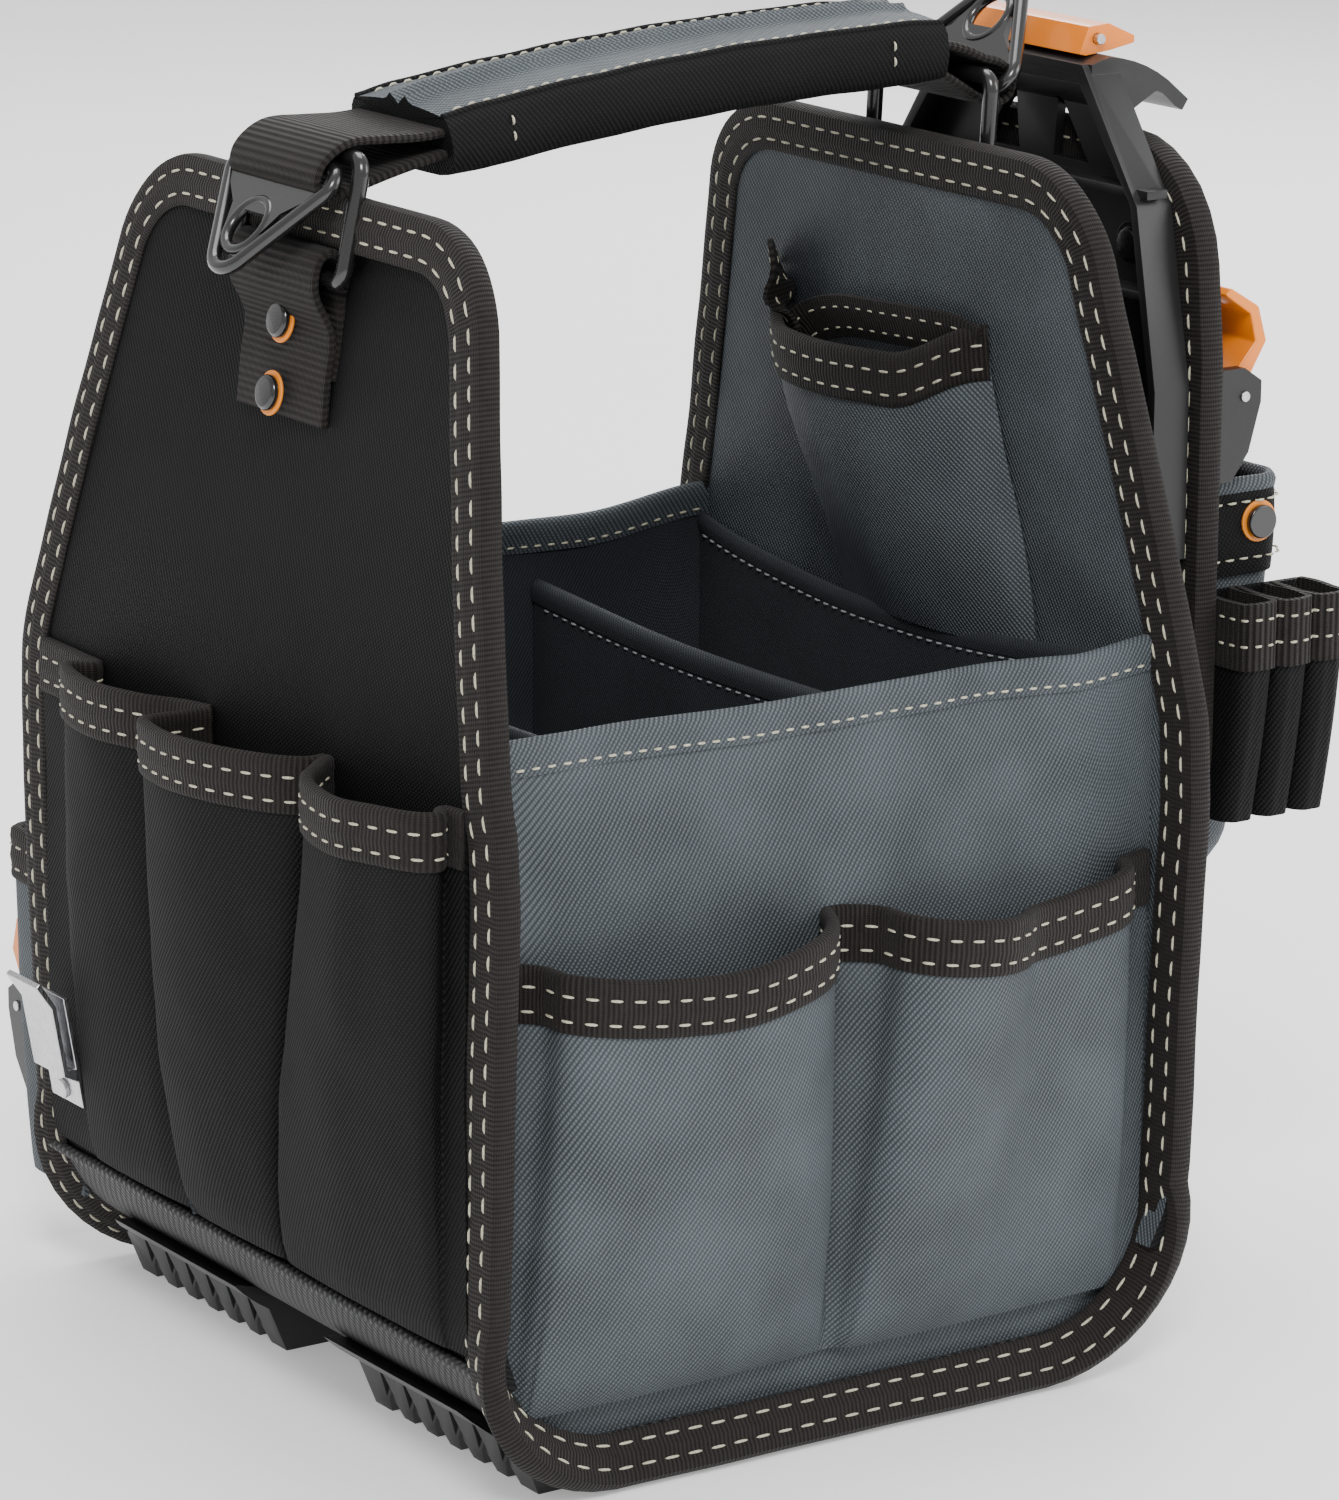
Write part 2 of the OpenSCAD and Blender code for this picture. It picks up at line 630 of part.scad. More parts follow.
module hub_bracket() color([0.1, 0.1, 0.1]) in_row() {
    plate_x = bracket_x + bracket_t - 3;
    hood_c = [bracket_x + 4, bracket_peak - 40];
    difference() {
        union() {
            along_x(plate_x, pouch_x) bracket_outline(0);
            along_x(bracket_x, plate_x) difference() {
                bracket_outline(0);
                bracket_outline(3);
            }
            for (z = [238, 286, 314]) box([bracket_x + 2, -60, z], [plate_x, 60, z + 2.4]);
            box([rail_x + gap, -20, rail_low + 2], [plate_x, 20, rail_high + 6]);
            along_y(-34, 34) polygon(concat(
                [[bracket_x + 2, bracket_peak - 6], [bracket_x + 2, bracket_peak]],
                arc(hood_c, 42, 84, 48, 6), [[bracket_x + 36, 336], [bracket_x + 34, 333]],
                arc(hood_c, 38, 44, 56, 3), [[pouch_x, bracket_peak - 16]]));
        }
        box([rail_x - 1, -8 - gap, 0], [rail_x + 6 + gap, 8 + gap, rail_high + gap]);
        box([rail_x + 6 - gap, -14 - gap, 0], [rail_x + 10 + gap, 14 + gap, rail_high + gap]);
        for (s = [0, 1]) mirror([0, s, 0]) along_x(plate_x - 1, pouch_x + 1)
            polygon([[8, 319], [24, 319], [10, 338]]);
    }
}

module bracket_rivets() color([0.08, 0.08, 0.08]) in_row()
    for (s = [-1, 1], p = [[46, 300], [54, 252]])
        translate([bracket_x + bracket_t - 3, s * p[0], p[1]]) rotate([0, -90, 0]) {
            cylinder(h = 2, r = 6);
            translate([0, 0, 2]) cylinder(h = 1.2, r = 4);
        }

release_axis = [bracket_x + 9, 354];

module release_pin() color([0.7, 0.7, 0.72]) in_row()
    translate([release_axis[0], 29, release_axis[1]]) rotate([90, 0, 0]) cylinder(h = 58, r = 1.5);

module release_lever() color([1, 0.55, 0.02]) in_row() along_y(-27, 27) difference() {
    translate(release_axis) polygon([[-6, -4], [-3, 3.5], [4, 4], [13, 0], [13, -2], [5, -3.5], [-4, -4.5]]);
    translate(release_axis) circle(1.56);
}

// padded pouch panel, inside its binding
function pouch_outline(d) = concat(
    [[-(pouch_half - 14) + d, pouch_bottom + d], [pouch_half - 14 - d, pouch_bottom + d],
     [pouch_half - d, pouch_bottom + 60], [pouch_half - d, 270]],
    arc([pouch_half - 40, pouch_top - 36], 36 - d, 14, 90, 8),
    arc([-pouch_half + 40, pouch_top - 36], 36 - d, 90, 166, 8),
    [[-pouch_half + d, 270], [-pouch_half + d, pouch_bottom + 60]]);

module pouch_back() color([0.14, 0.14, 0.15]) in_row()
    along_x(pouch_x, front_x) polygon(pouch_outline(12));

module pouch_binding() color([0.17, 0.15, 0.14]) in_row() along_x(pouch_x + 1.5, front_x - 1.5) difference() {
    polygon(pouch_outline(0));
    polygon(pouch_outline(12));
}

module on_pouch() {
    translate([front_x, 0, 0]) rotate([0, 0, 90]) children();
}

pocket_half = 57;
pouch_root = 22;
cuff_h = 27;

module pouch_pocket() color([0.41, 0.45, 0.47]) in_row() on_pouch()
    cup(-pocket_half, pocket_half, pouch_bottom + 14, cuff_top - cuff_h, pouch_root, pouch_out, cloth_t);

module pouch_cuff() color([0.24, 0.24, 0.25]) in_row() on_pouch()
    cup(-pocket_half - 0.6, pocket_half + 0.6, cuff_top - cuff_h, cuff_top, pouch_out + 0.8, pouch_out + 0.8,
        tape_t, closed = false);

module on_pouch_side(h) {
    translate([front_x + 24, -pocket_half - 0.6 - h, cuff_top - 12]) rotate([90, 0, 0]) children();
}

module pouch_washer() color([0.95, 0.55, 0.1]) in_row() on_pouch_side(0) cylinder(h = 0.8, r = 6);

module pouch_rivet() color([0.08, 0.08, 0.08]) in_row() on_pouch_side(0.8) cylinder(h = 2, r = 4.8);

// three tool sleeves on the right side of the pouch pocket
sleeve_y = -pocket_half - 4;
sleeve_z = [138, 184, 198];

module each_sleeve() {
    for (i = [0:2]) translate([front_x + 0.5 + i * sleeve_pitch, sleeve_y, 0]) children();
}

module tool_sleeves() color([0.15, 0.15, 0.16]) in_row() {
    each_sleeve() cup(0, sleeve_w, sleeve_z[0], sleeve_z[1], 16, 22, 1.8);
    backing_top = sleeve_z[1] + 6;
    box([front_x + 0.5, sleeve_y, sleeve_z[0]], [front_x + pouch_root, -pocket_half, backing_top]);
    backing_end = front_x + 0.5 + 2 * sleeve_pitch + sleeve_w;
    box([front_x + 0.5, sleeve_y - 0.1, sleeve_z[0]], [backing_end, sleeve_y + 1.5, sleeve_z[1]]);
    box([front_x + 0.5, sleeve_y, sleeve_z[1]], [backing_end, sleeve_y + 1.5, backing_top]);
}

module sleeve_tape() color([0.17, 0.15, 0.14]) in_row()
    each_sleeve() cup(0, sleeve_w, sleeve_z[1], sleeve_z[2], 22.4, 23, 2.4, closed = false);

pouch_clip = [front_x, -50, 257];

module at_pouch_clip() {
    translate(pouch_clip) rotate([0, 0, 90]) children();
}

module pouch_clip_body() color([0.1, 0.1, 0.1]) in_row() at_pouch_clip() clip_body();

module pouch_clip_pin() color([0.75, 0.75, 0.77]) in_row() at_pouch_clip() clip_pin();

module pouch_clip_lever() color([1, 0.55, 0.02]) in_row() at_pouch_clip() clip_lever();

front_panel();
rear_panel();
base_wrap();
base_board();
right_wall();
left_wall();
front_binding();
rear_binding();
base_binding();
front_divider();
rear_divider();
rear_lining();
right_pockets();
right_pocket_tape();
left_pockets();
left_pocket_tape();
front_pockets();
front_pocket_tape();
inner_pocket();
inner_pocket_tape();
front_right_foot();
front_left_foot();
rear_right_foot();
rear_left_foot();
foot_rivets();
front_anchor_strap();
rear_anchor_strap();
anchor_washers();
anchor_rivets();
tape_clip();
tape_clip_rivet();
side_clip_body();
side_clip_pin();
side_clip_lever();
hub_receiver();
receiver_rivets();
handle_webbing();
handle_grip();
front_wire_ring();
rear_wire_ring();
front_strap_ring();
rear_strap_ring();
hub_bracket();
bracket_rivets();
release_pin();
release_lever();
pouch_back();
pouch_binding();
pouch_pocket();
pouch_cuff();
pouch_washer();
pouch_rivet();
tool_sleeves();
sleeve_tape();
pouch_clip_body();
pouch_clip_pin();
pouch_clip_lever();
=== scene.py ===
import math
import random
import bmesh
import bpy
from mathutils import Matrix, Vector, noise


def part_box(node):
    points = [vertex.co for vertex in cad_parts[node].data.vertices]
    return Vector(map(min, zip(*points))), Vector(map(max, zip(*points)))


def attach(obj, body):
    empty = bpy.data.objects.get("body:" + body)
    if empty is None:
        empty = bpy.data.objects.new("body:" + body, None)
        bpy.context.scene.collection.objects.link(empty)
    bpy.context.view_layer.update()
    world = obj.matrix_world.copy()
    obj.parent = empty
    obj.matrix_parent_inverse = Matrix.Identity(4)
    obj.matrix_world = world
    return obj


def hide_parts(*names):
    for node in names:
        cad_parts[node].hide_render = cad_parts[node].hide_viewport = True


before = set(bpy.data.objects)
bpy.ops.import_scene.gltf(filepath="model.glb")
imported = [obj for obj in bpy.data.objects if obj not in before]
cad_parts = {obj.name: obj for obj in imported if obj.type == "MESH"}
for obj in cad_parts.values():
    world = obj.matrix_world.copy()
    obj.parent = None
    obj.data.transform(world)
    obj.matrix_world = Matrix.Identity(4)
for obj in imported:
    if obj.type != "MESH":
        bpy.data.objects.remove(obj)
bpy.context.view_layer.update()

random.seed(7)
MM = 0.001

# ---------------------------------------------------------------- the bag's own frame, in millimetres
# x runs back from the front panel's outer face, y across from the mid-plane, z up from the ground.
_low, _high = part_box("front_panel")
ORIGIN = Vector((_low[0], (_low[1] + _high[1]) / 2, 0))


def to_row(p):
    return ORIGIN + Vector(p) * MM


def box_mm(node):
    return [(Vector(p) - ORIGIN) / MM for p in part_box(node)]


FRONT_BIND = box_mm("front_binding")
RIGHT_WALL = box_mm("right_wall")
BASE_BIND = box_mm("base_binding")
GRIP = box_mm("handle_grip")
POUCH = box_mm("pouch_binding")
POCKET_BOX = box_mm("pouch_pocket")
CUFF_BOX = box_mm("pouch_cuff")
BAG_L = box_mm("rear_panel")[1].x
PANEL_TOP = FRONT_BIND[1].z
SHOULDER_HALF = FRONT_BIND[1].y
WALL_TOP = RIGHT_WALL[1].z
WALL_Y = -box_mm("base_wrap")[0].y
WRAP_TOP = box_mm("base_wrap")[1].z
BASE_Z = box_mm("base_wrap")[0].z
SKIRT_Z = BASE_BIND[0].z
BIND_W = 13.0
FOOT_HALF = WALL_Y + BIND_W
PANEL_T = 5.0
CORNER_R = 42.0
PANEL_FOOT = BASE_Z + CORNER_R
SHOULDER_Z = 178.0
TOP_R = 34.0
TOP_C = (59.0, PANEL_TOP - TOP_R)
FRONT_LEAN, REAR_LEAN = 20.0, 12.0
FLARE = 0.5
LEAN_FROM = 190.0


# ---------------------------------------------------------------- small maths
def lerp(a, b, t):
    return a + (b - a) * t


def smooth(t):
    t = min(max(t, 0.0), 1.0)
    return t * t * (3 - 2 * t)


def catmull(points, count):
    """count + 1 points on a smooth curve through the given ones."""
    pts = [Vector(p) for p in points]
    pts = [2 * pts[0] - pts[1]] + pts + [2 * pts[-1] - pts[-2]]
    spans = len(pts) - 3
    out = []
    for i in range(count + 1):
        at = spans * i / count
        k = min(int(at), spans - 1)
        t = at - k
        p0, p1, p2, p3 = pts[k:k + 4]
        out.append(0.5 * (2 * p1 + (p2 - p0) * t + (2 * p0 - 5 * p1 + 4 * p2 - p3) * t ** 2
                          + (3 * p1 - p0 - 3 * p2 + p3) * t ** 3))
    return out


def lengths(points):
    total = [0.0]
    for a, b in zip(points, points[1:]):
        total.append(total[-1] + (b - a).length)
    return total


def ripple(x, y, size, seed=0.0):
    """Soft noise between about -1 and 1, for the give of cloth."""
    return noise.noise(Vector((x / size, y / size, seed)))


# ---------------------------------------------------------------- mesh building
def new_piece(name, verts, faces, uvs, mats, body, nodes=(), face_mats=None, sharp=42):
    """A mesh piece from points in mm. uvs holds one (u, v) in mm for each corner of each face."""
    mesh = bpy.data.meshes.new(name)
    mesh.from_pydata([to_row(v) for v in verts], [], faces)
    for mat in mats:
        mesh.materials.append(mat)
    if uvs:
        layer = mesh.uv_layers.new(name="cloth")
        for k, (u, v) in enumerate(uvs):
            layer.data[k].uv = (u * MM, v * MM)
    if face_mats:
        for face, index in zip(mesh.polygons, face_mats):
            face.material_index = index
    bm = bmesh.new()
    bm.from_mesh(mesh)
    bmesh.ops.recalc_face_normals(bm, faces=bm.faces)
    bm.to_mesh(mesh)
    bm.free()
    mesh.polygons.foreach_set("use_smooth", [True] * len(mesh.polygons))
    mesh.set_sharp_from_angle(angle=math.radians(sharp))
    obj = bpy.data.objects.new(name, mesh)
    bpy.context.collection.objects.link(obj)
    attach(obj, body)
    if nodes:
        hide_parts(*nodes)
    return obj


def grid_normals(grid, out):
    """Unit normals of a grid of points, turned to the side that out points to."""
    rows, cols = len(grid), len(grid[0])
    normals = []
    total = Vector()
    for i in range(rows):
        line = []
        for j in range(cols):
            du = grid[i][min(j + 1, cols - 1)] - grid[i][max(j - 1, 0)]
            dv = grid[min(i + 1, rows - 1)][j] - grid[max(i - 1, 0)][j]
            n = du.cross(dv)
            n = n.normalized() if n.length > 1e-9 else Vector(out)
            line.append(n)
            total += n
        normals.append(line)
    if total.dot(Vector(out)) < 0:
        normals = [[-n for n in line] for line in normals]
    return normals


def grid_uv(grid):
    """Where each point lies on the flat cloth: along its row from the middle, and up its column."""
    rows, cols = len(grid), len(grid[0])
    mid = cols // 2
    across = []
    for row in grid:
        run = lengths(row)
        across.append([d - run[mid] for d in run])
    up = list(zip(*[lengths([grid[i][j] for i in range(rows)]) for j in range(cols)]))
    return [[(across[i][j], up[i][j]) for j in range(cols)] for i in range(rows)]


def cloth_sheet(name, grid, thick, out, mats, body, nodes=()):
    """A closed sheet of cloth, its UVs laid out at its flat size: grid is its outer face, mats its two finishes."""
    rows, cols = len(grid), len(grid[0])
    normals = grid_normals(grid, out)
    uv = grid_uv(grid)
    verts = [p for row in grid for p in row]
    verts += [grid[i][j] - normals[i][j] * thick for i in range(rows) for j in range(cols)]
    back = rows * cols
    faces, uvs, face_mats = [], [], []

    def add(quad, corners, mat):
        faces.append(quad)
        uvs.extend(corners)
        face_mats.append(mat)

    for i in range(rows - 1):
        for j in range(cols - 1):
            at = [(i, j), (i, j + 1), (i + 1, j + 1), (i + 1, j)]
            corners = [uv[a][b] for a, b in at]
            add([a * cols + b for a, b in at], corners, 0)
            add([back + a * cols + b for a, b in reversed(at)], corners[::-1], len(mats) - 1)
    rim = [(0, j) for j in range(cols)] + [(i, cols - 1) for i in range(1, rows)]
    rim += [(rows - 1, j) for j in range(cols - 2, -1, -1)] + [(i, 0) for i in range(rows - 2, 0, -1)]
    for (a, b), (c, d) in zip(rim, rim[1:] + rim[:1]):
        quad = [a * cols + b, c * cols + d, back + c * cols + d, back + a * cols + b]
        u0, u1 = uv[a][b], uv[c][d]
        add(quad, [u0, u1, (u1[0], u1[1] + thick), (u0[0], u0[1] + thick)], 0)
    obj = new_piece(name, verts, faces, uvs, mats, body, nodes, face_mats)
    for i in range(rows - 1):
        for j in range(cols - 1):
            a, b, c, d = grid[i][j], grid[i][j + 1], grid[i + 1][j + 1], grid[i + 1][j]
    return obj


def sweep(name, frames, section, mats, body, nodes=(), closed=False, side_mats=None, sharp=42):
    """A closed section carried along frames of (point, a, b); v runs round it and u along it."""
    count, size = len(frames), len(section)
    verts = [p + a * s + b * t for p, a, b in frames for s, t in section]
    run = lengths([f[0] for f in frames] + ([frames[0][0]] if closed else []))
    loop = [Vector((s, t, 0)) for s, t in section]
    rise = lengths(loop + loop[:1])
    faces, uvs, face_mats = [], [], []
    for i in range(count if closed else count - 1):
        k = (i + 1) % count
        for j in range(size):
            m = (j + 1) % size
            faces.append([i * size + j, i * size + m, k * size + m, k * size + j])
            uvs += [(run[i], rise[j]), (run[i], rise[j + 1]), (run[i + 1], rise[j + 1]), (run[i + 1], rise[j])]
            face_mats.append(side_mats[j] if side_mats else 0)
    if not closed:
        for i, step in ((0, 1), (count - 1, -1)):
            first, hub = i * size, len(verts)
            verts.append(sum(verts[first:first + size], Vector()) / size)
            for j in range(size):
                pair = (j, (j + 1) % size)[::step]
                faces.append([hub] + [first + k for k in pair[::-1]])
                uvs += [(0, 0)] + [section[k] for k in pair[::-1]]
                face_mats.append(0)
    return new_piece(name, verts, faces, uvs, mats, body, nodes, face_mats, sharp)


class Thread:
    """Gathers stitches, each a short raised dash, and makes them one piece."""

    def __init__(self):
        self.verts, self.faces, self.uvs = [], [], []

    def dash(self, line, up, half_w=0.4, rise=0.4):
        """One stitch along a short line of points, with up the way it stands proud."""
        ring, last = 6, len(line) - 1
        first = len(self.verts)
        for i, p in enumerate(line):
            ahead = (line[min(i + 1, last)] - line[max(i - 1, 0)]).normalized()
            side = ahead.cross(up).normalized()
            swell = 0.45 + 0.55 * math.sin(math.pi * (i + 0.35) / (last + 0.7))
            dip = -0.5 if i in (0, last) else 0.0
            for k in range(ring):
                turn = 2 * math.pi * k / ring
                across = side * math.cos(turn) * half_w * swell
                self.verts.append(p + across + up * (math.sin(turn) * rise * swell + dip))
        for i in range(last):
            for k in range(ring):
                a, b = first + i * ring + k, first + i * ring + (k + 1) % ring
                self.faces.append([a, b, b + ring, a + ring])
                self.uvs += [(i, k), (i, k + 1), (i + 1, k + 1), (i + 1, k)]
        for start, order in ((first, range(ring)), (first + last * ring, range(ring - 1, -1, -1))):
            self.faces.append([start + k for k in order])
            self.uvs += [(0, k) for k in order]

    def row(self, frames, inset, height, closed=False, pitch=7.2, fill=0.68, start=2.0, steps=4):
        """Stitches along frames, inset from their edge and height above it on the b side."""
        line = [p + a * inset + b * height for p, a, b in frames]
        ups = [b if height >= 0 else -b for p, a, b in frames]
        if closed:
            line.append(line[0])
            ups.append(ups[0])
        run = lengths(line)
        if closed:
            pitch = run[-1] / round(run[-1] / pitch)
        at, k = start, 0
        while at + pitch * fill < run[-1] - (0 if closed else 1.0):
            points = []
            for i in range(steps + 1):
                d = at + pitch * fill * i / steps
                while run[k + 1] < d:
                    k += 1
                t = (d - run[k]) / max(run[k + 1] - run[k], 1e-6)
                points.append(line[k].lerp(line[k + 1], t))
            self.dash(points, ups[k].lerp(ups[k + 1], t).normalized())
            while k and run[k] > at + pitch * 0.5:
                k -= 1
            at += pitch
            while run[k] > at:
                k -= 1

    def make(self, name, body, mat, slot):
        return new_piece(name, self.verts, self.faces, self.uvs, [mat], body, sharp=80)


def fold_section(width, inner, swell=0.5, rows=(5.0, 12.0), nose=1.6):
    """Section of a tape folded over an edge: a runs in from the edge, b through the cloth."""
    half = inner / 2
    dips = sorted(rows)
    a = [width, width - 0.7, (width + dips[-1]) / 2, dips[-1], (dips[-1] + dips[0]) / 2, dips[0], 1.6]
    h = [0.55, 1.0, 1.15, 0.85, 1.0 + swell, 0.85, 1.15]
    outer = [(s, half + t) for s, t in zip(a, h)]
    turn = half + 1.1
    round_end = [(-nose * math.cos(math.radians(t)) + 0.2, turn * math.sin(math.radians(t)))
                 for t in (60, 36, 12, -12, -36, -60)]
    lower = [(s, -t) for s, t in reversed(outer)]
    return outer + round_end + lower + [(width - 0.4, -half + 0.1), (width - 0.4, half - 0.1)]


def edge_frames(grid, out, edge="top"):
    """Frames along a sheet's top row: the edge point, the way into the sheet, and outward."""
    normals = grid_normals(grid, out)
    order = range(len(grid) - 1, -1, -1) if edge == "top" else range(len(grid))
    first, inner = order[0], order[2]
    frames = []
    for j in range(len(grid[0])):
        into = (grid[inner][j] - grid[first][j]).normalized()
        n = normals[first][j]
        frames.append((grid[first][j], into, (n - into * n.dot(into)).normalized()))
    return frames


def bevelled(node, width, mats, body, segments=2, name=None):
    """A copy of a hard CAD node with rounded edges, which stands for it."""
    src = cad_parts[node]
    mesh = src.data.copy()
    bm = bmesh.new()
    bm.from_mesh(mesh)
    bm.transform(src.matrix_world)
    bmesh.ops.remove_doubles(bm, verts=bm.verts, dist=2e-6)
    bmesh.ops.dissolve_limit(bm, angle_limit=math.radians(2), verts=bm.verts, edges=bm.edges)
    bm.to_mesh(mesh)
    bm.free()
    mesh.materials.clear()
    for mat in mats:
        mesh.materials.append(mat)
    layer = mesh.uv_layers.new(name="cloth")
    for face in mesh.polygons:
        face.material_index = 0
        flat = max(range(3), key=lambda k: abs(face.normal[k]))
        u, v = [k for k in range(3) if k != flat]
        for loop in face.loop_indices:
            co = mesh.vertices[mesh.loops[loop].vertex_index].co
            layer.data[loop].uv = (co[u], co[v])
    mesh.polygons.foreach_set("use_smooth", [True] * len(mesh.polygons))
    mesh.set_sharp_from_angle(angle=math.radians(60))
    obj = bpy.data.objects.new(name or node + "_moulded", mesh)
    bpy.context.collection.objects.link(obj)
    bevel = obj.modifiers.new("soft_edges", "BEVEL")
    bevel.width = width * MM
    bevel.segments = segments
    bevel.limit_method = "ANGLE"
    bevel.angle_limit = math.radians(32)
    bevel.harden_normals = True
    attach(obj, body)
    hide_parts(node)
    return obj


# ---------------------------------------------------------------- materials
class Nodes:
    """A short way to write a material's node tree."""

    def __init__(self, name):
        self.mat = bpy.data.materials.new(name)
        self.mat.use_nodes = True
        self.tree = self.mat.node_tree
        self.shader = self.tree.nodes["Principled BSDF"]
        self.uv = self.add("ShaderNodeUVMap")
        self.uv.uv_map = "cloth"
        self.place = self.add("ShaderNodeTexCoord").outputs["Object"]

    def add(self, kind, **values):
        node = self.tree.nodes.new(kind)
        for key, value in values.items():
            setattr(node, key, value)
        return node

    def link(self, a, b):
        self.tree.links.new(a, b)

    def math(self, op, a, b=None, c=None):
        node = self.add("ShaderNodeMath", operation=op)
        for socket, value in zip(node.inputs, (a, b, c)):
            if value is None:
                continue
            if isinstance(value, (int, float)):
                socket.default_value = value
            else:
                self.link(value, socket)
        return node.outputs[0]

    def noise(self, scale, detail=3.0, source=None, rough=0.5):
        node = self.add("ShaderNodeTexNoise")
        node.inputs["Scale"].default_value = scale
        node.inputs["Detail"].default_value = detail
        node.inputs["Roughness"].default_value = rough
        self.link(source or self.place, node.inputs["Vector"])
        return node.outputs["Fac"]

    def wave(self, pitch, turn=0.0, distort=0.0, source=None):
        """Ridges at that pitch in mm on the flat cloth, turned by that many degrees."""
        turned = self.add("ShaderNodeMapping")
        turned.inputs["Rotation"].default_value[2] = math.radians(turn)
        self.link(source or self.uv.outputs[0], turned.inputs["Vector"])
        node = self.add("ShaderNodeTexWave", wave_type="BANDS", bands_direction="X")
        node.inputs["Scale"].default_value = 2 * math.pi / (20 * pitch * MM)
        node.inputs["Distortion"].default_value = distort
        node.inputs["Detail Scale"].default_value = 0.02
        self.link(turned.outputs[0], node.inputs["Vector"])
        return node.outputs["Fac"]

    def ramp(self, fac, low, high, start=0.0, end=1.0):
        node = self.add("ShaderNodeValToRGB")
        node.color_ramp.elements[0].position = start
        node.color_ramp.elements[1].position = end
        node.color_ramp.elements[0].color = (*low, 1)
        node.color_ramp.elements[1].color = (*high, 1)
        self.link(fac, node.inputs[0])
        return node.outputs[0]

    def colour(self, source):
        self.link(source, self.shader.inputs["Base Color"])

    def rough(self, fac, low, high):
        node = self.add("ShaderNodeMapRange")
        node.inputs["To Min"].default_value = low
        node.inputs["To Max"].default_value = high
        self.link(fac, node.inputs["Value"])
        self.link(node.outputs[0], self.shader.inputs["Roughness"])

    def bump(self, height, depth, strength=1.0):
        node = self.add("ShaderNodeBump")
        node.inputs["Distance"].default_value = depth * MM
        node.inputs["Strength"].default_value = strength
        self.link(height, node.inputs["Height"])
        self.link(node.outputs[0], self.shader.inputs["Normal"])


def twill(name, dark, light, sheen=0.25, pitch=1.25, depth=0.28, low=0.5, high=0.75):
    """Polyester twill: diagonal wales broken by the crossing yarn, with a faint mottle."""
    n = Nodes(name)
    wale = n.wave(pitch, 32)
    cross = n.wave(pitch * 0.8, -52)
    weave = n.math("MULTIPLY", n.math("POWER", wale, 0.8), n.math("MULTIPLY_ADD", cross, 0.55, 0.45))
    mottle = n.noise(38, 4)
    tone = n.math("MULTIPLY_ADD", weave, 0.72, n.math("MULTIPLY", mottle, 0.42))
    n.colour(n.ramp(tone, dark, light, 0.12, 0.95))
    n.rough(weave, high, low)
    n.bump(n.math("MULTIPLY_ADD", n.noise(900, 2), 0.15, weave), depth)
    n.shader.inputs["Sheen Weight"].default_value = sheen
    n.shader.inputs["Sheen Roughness"].default_value = 0.45
    n.shader.inputs["Specular IOR Level"].default_value = 0.16
    return n.mat


def grosgrain(name, dark, light, pitch=1.3, depth=0.4):
    """Ribbed tape or webbing: ribs across the width, with fine lengthwise yarns."""
    n = Nodes(name)
    rib = n.wave(pitch, 0, 0.6)
    yarn = n.wave(0.62, 90)
    weave = n.math("MULTIPLY_ADD", yarn, 0.22, n.math("MULTIPLY", rib, 0.78))
    fuzz = n.noise(260, 5)
    n.colour(n.ramp(n.math("MULTIPLY_ADD", fuzz, 0.5, n.math("MULTIPLY", weave, 0.6)), dark, light, 0.2, 0.95))
    n.rough(weave, 0.85, 0.62)
    n.bump(n.math("MULTIPLY_ADD", fuzz, 0.2, weave), depth)
    n.shader.inputs["Sheen Weight"].default_value = 0.04
    n.shader.inputs["Specular IOR Level"].default_value = 0.22
    return n.mat


def beaded(name, dark, light):
    """Coated base cloth with rows of small raised lozenges, worn paler on their tops."""
    n = Nodes(name)
    knobs = n.math("MULTIPLY", n.wave(2.5, 35), n.wave(2.1, -35))
    top = n.math("POWER", knobs, 0.6)
    wear = n.noise(60, 4)
    n.colour(n.ramp(n.math("MULTIPLY_ADD", top, 0.6, n.math("MULTIPLY", wear, 0.4)), dark, light, 0.1, 0.95))
    n.rough(top, 0.7, 0.45)
    n.bump(top, 0.5)
    n.shader.inputs["Specular IOR Level"].default_value = 0.45
    return n.mat


def moulded(name, dark, light, low=0.32, high=0.5, grain=0.03, metal=0.0, coat=0.0, grit=2600):
    """Moulded or coated surface: a fine grain, slow changes in gloss and handling marks."""
    n = Nodes(name)
    slow = n.noise(26, 4)
    fine = n.noise(grit, 3)
    n.colour(n.ramp(n.math("MULTIPLY_ADD", fine, 0.25, n.math("MULTIPLY", slow, 0.75)), dark, light, 0.3, 0.75))
    n.rough(slow, low, high)
    n.bump(n.math("MULTIPLY_ADD", slow, 0.6, fine), grain)
    n.shader.inputs["Metallic"].default_value = metal
    n.shader.inputs["Coat Weight"].default_value = coat
    return n.mat


def brushed(name, dark, light):
    """Bright steel with fine drawn lines."""
    n = Nodes(name)
    stretch = n.add("ShaderNodeMapping")
    stretch.inputs["Scale"].default_value = (1, 1, 0.05)
    n.link(n.place, stretch.inputs["Vector"])
    lines = n.noise(3000, 3, stretch.outputs[0])
    n.colour(n.ramp(lines, dark, light, 0.3, 0.7))
    n.rough(lines, 0.2, 0.38)
    n.bump(lines, 0.02)
    n.shader.inputs["Metallic"].default_value = 1.0
    return n.mat


def thread_finish(name, dark, light):
    """Twisted sewing thread."""
    n = Nodes(name)
    twist = n.noise(1500, 3)
    n.colour(n.ramp(twist, dark, light, 0.3, 0.7))
    n.rough(twist, 0.5, 0.7)
    n.bump(twist, 0.12)
    return n.mat


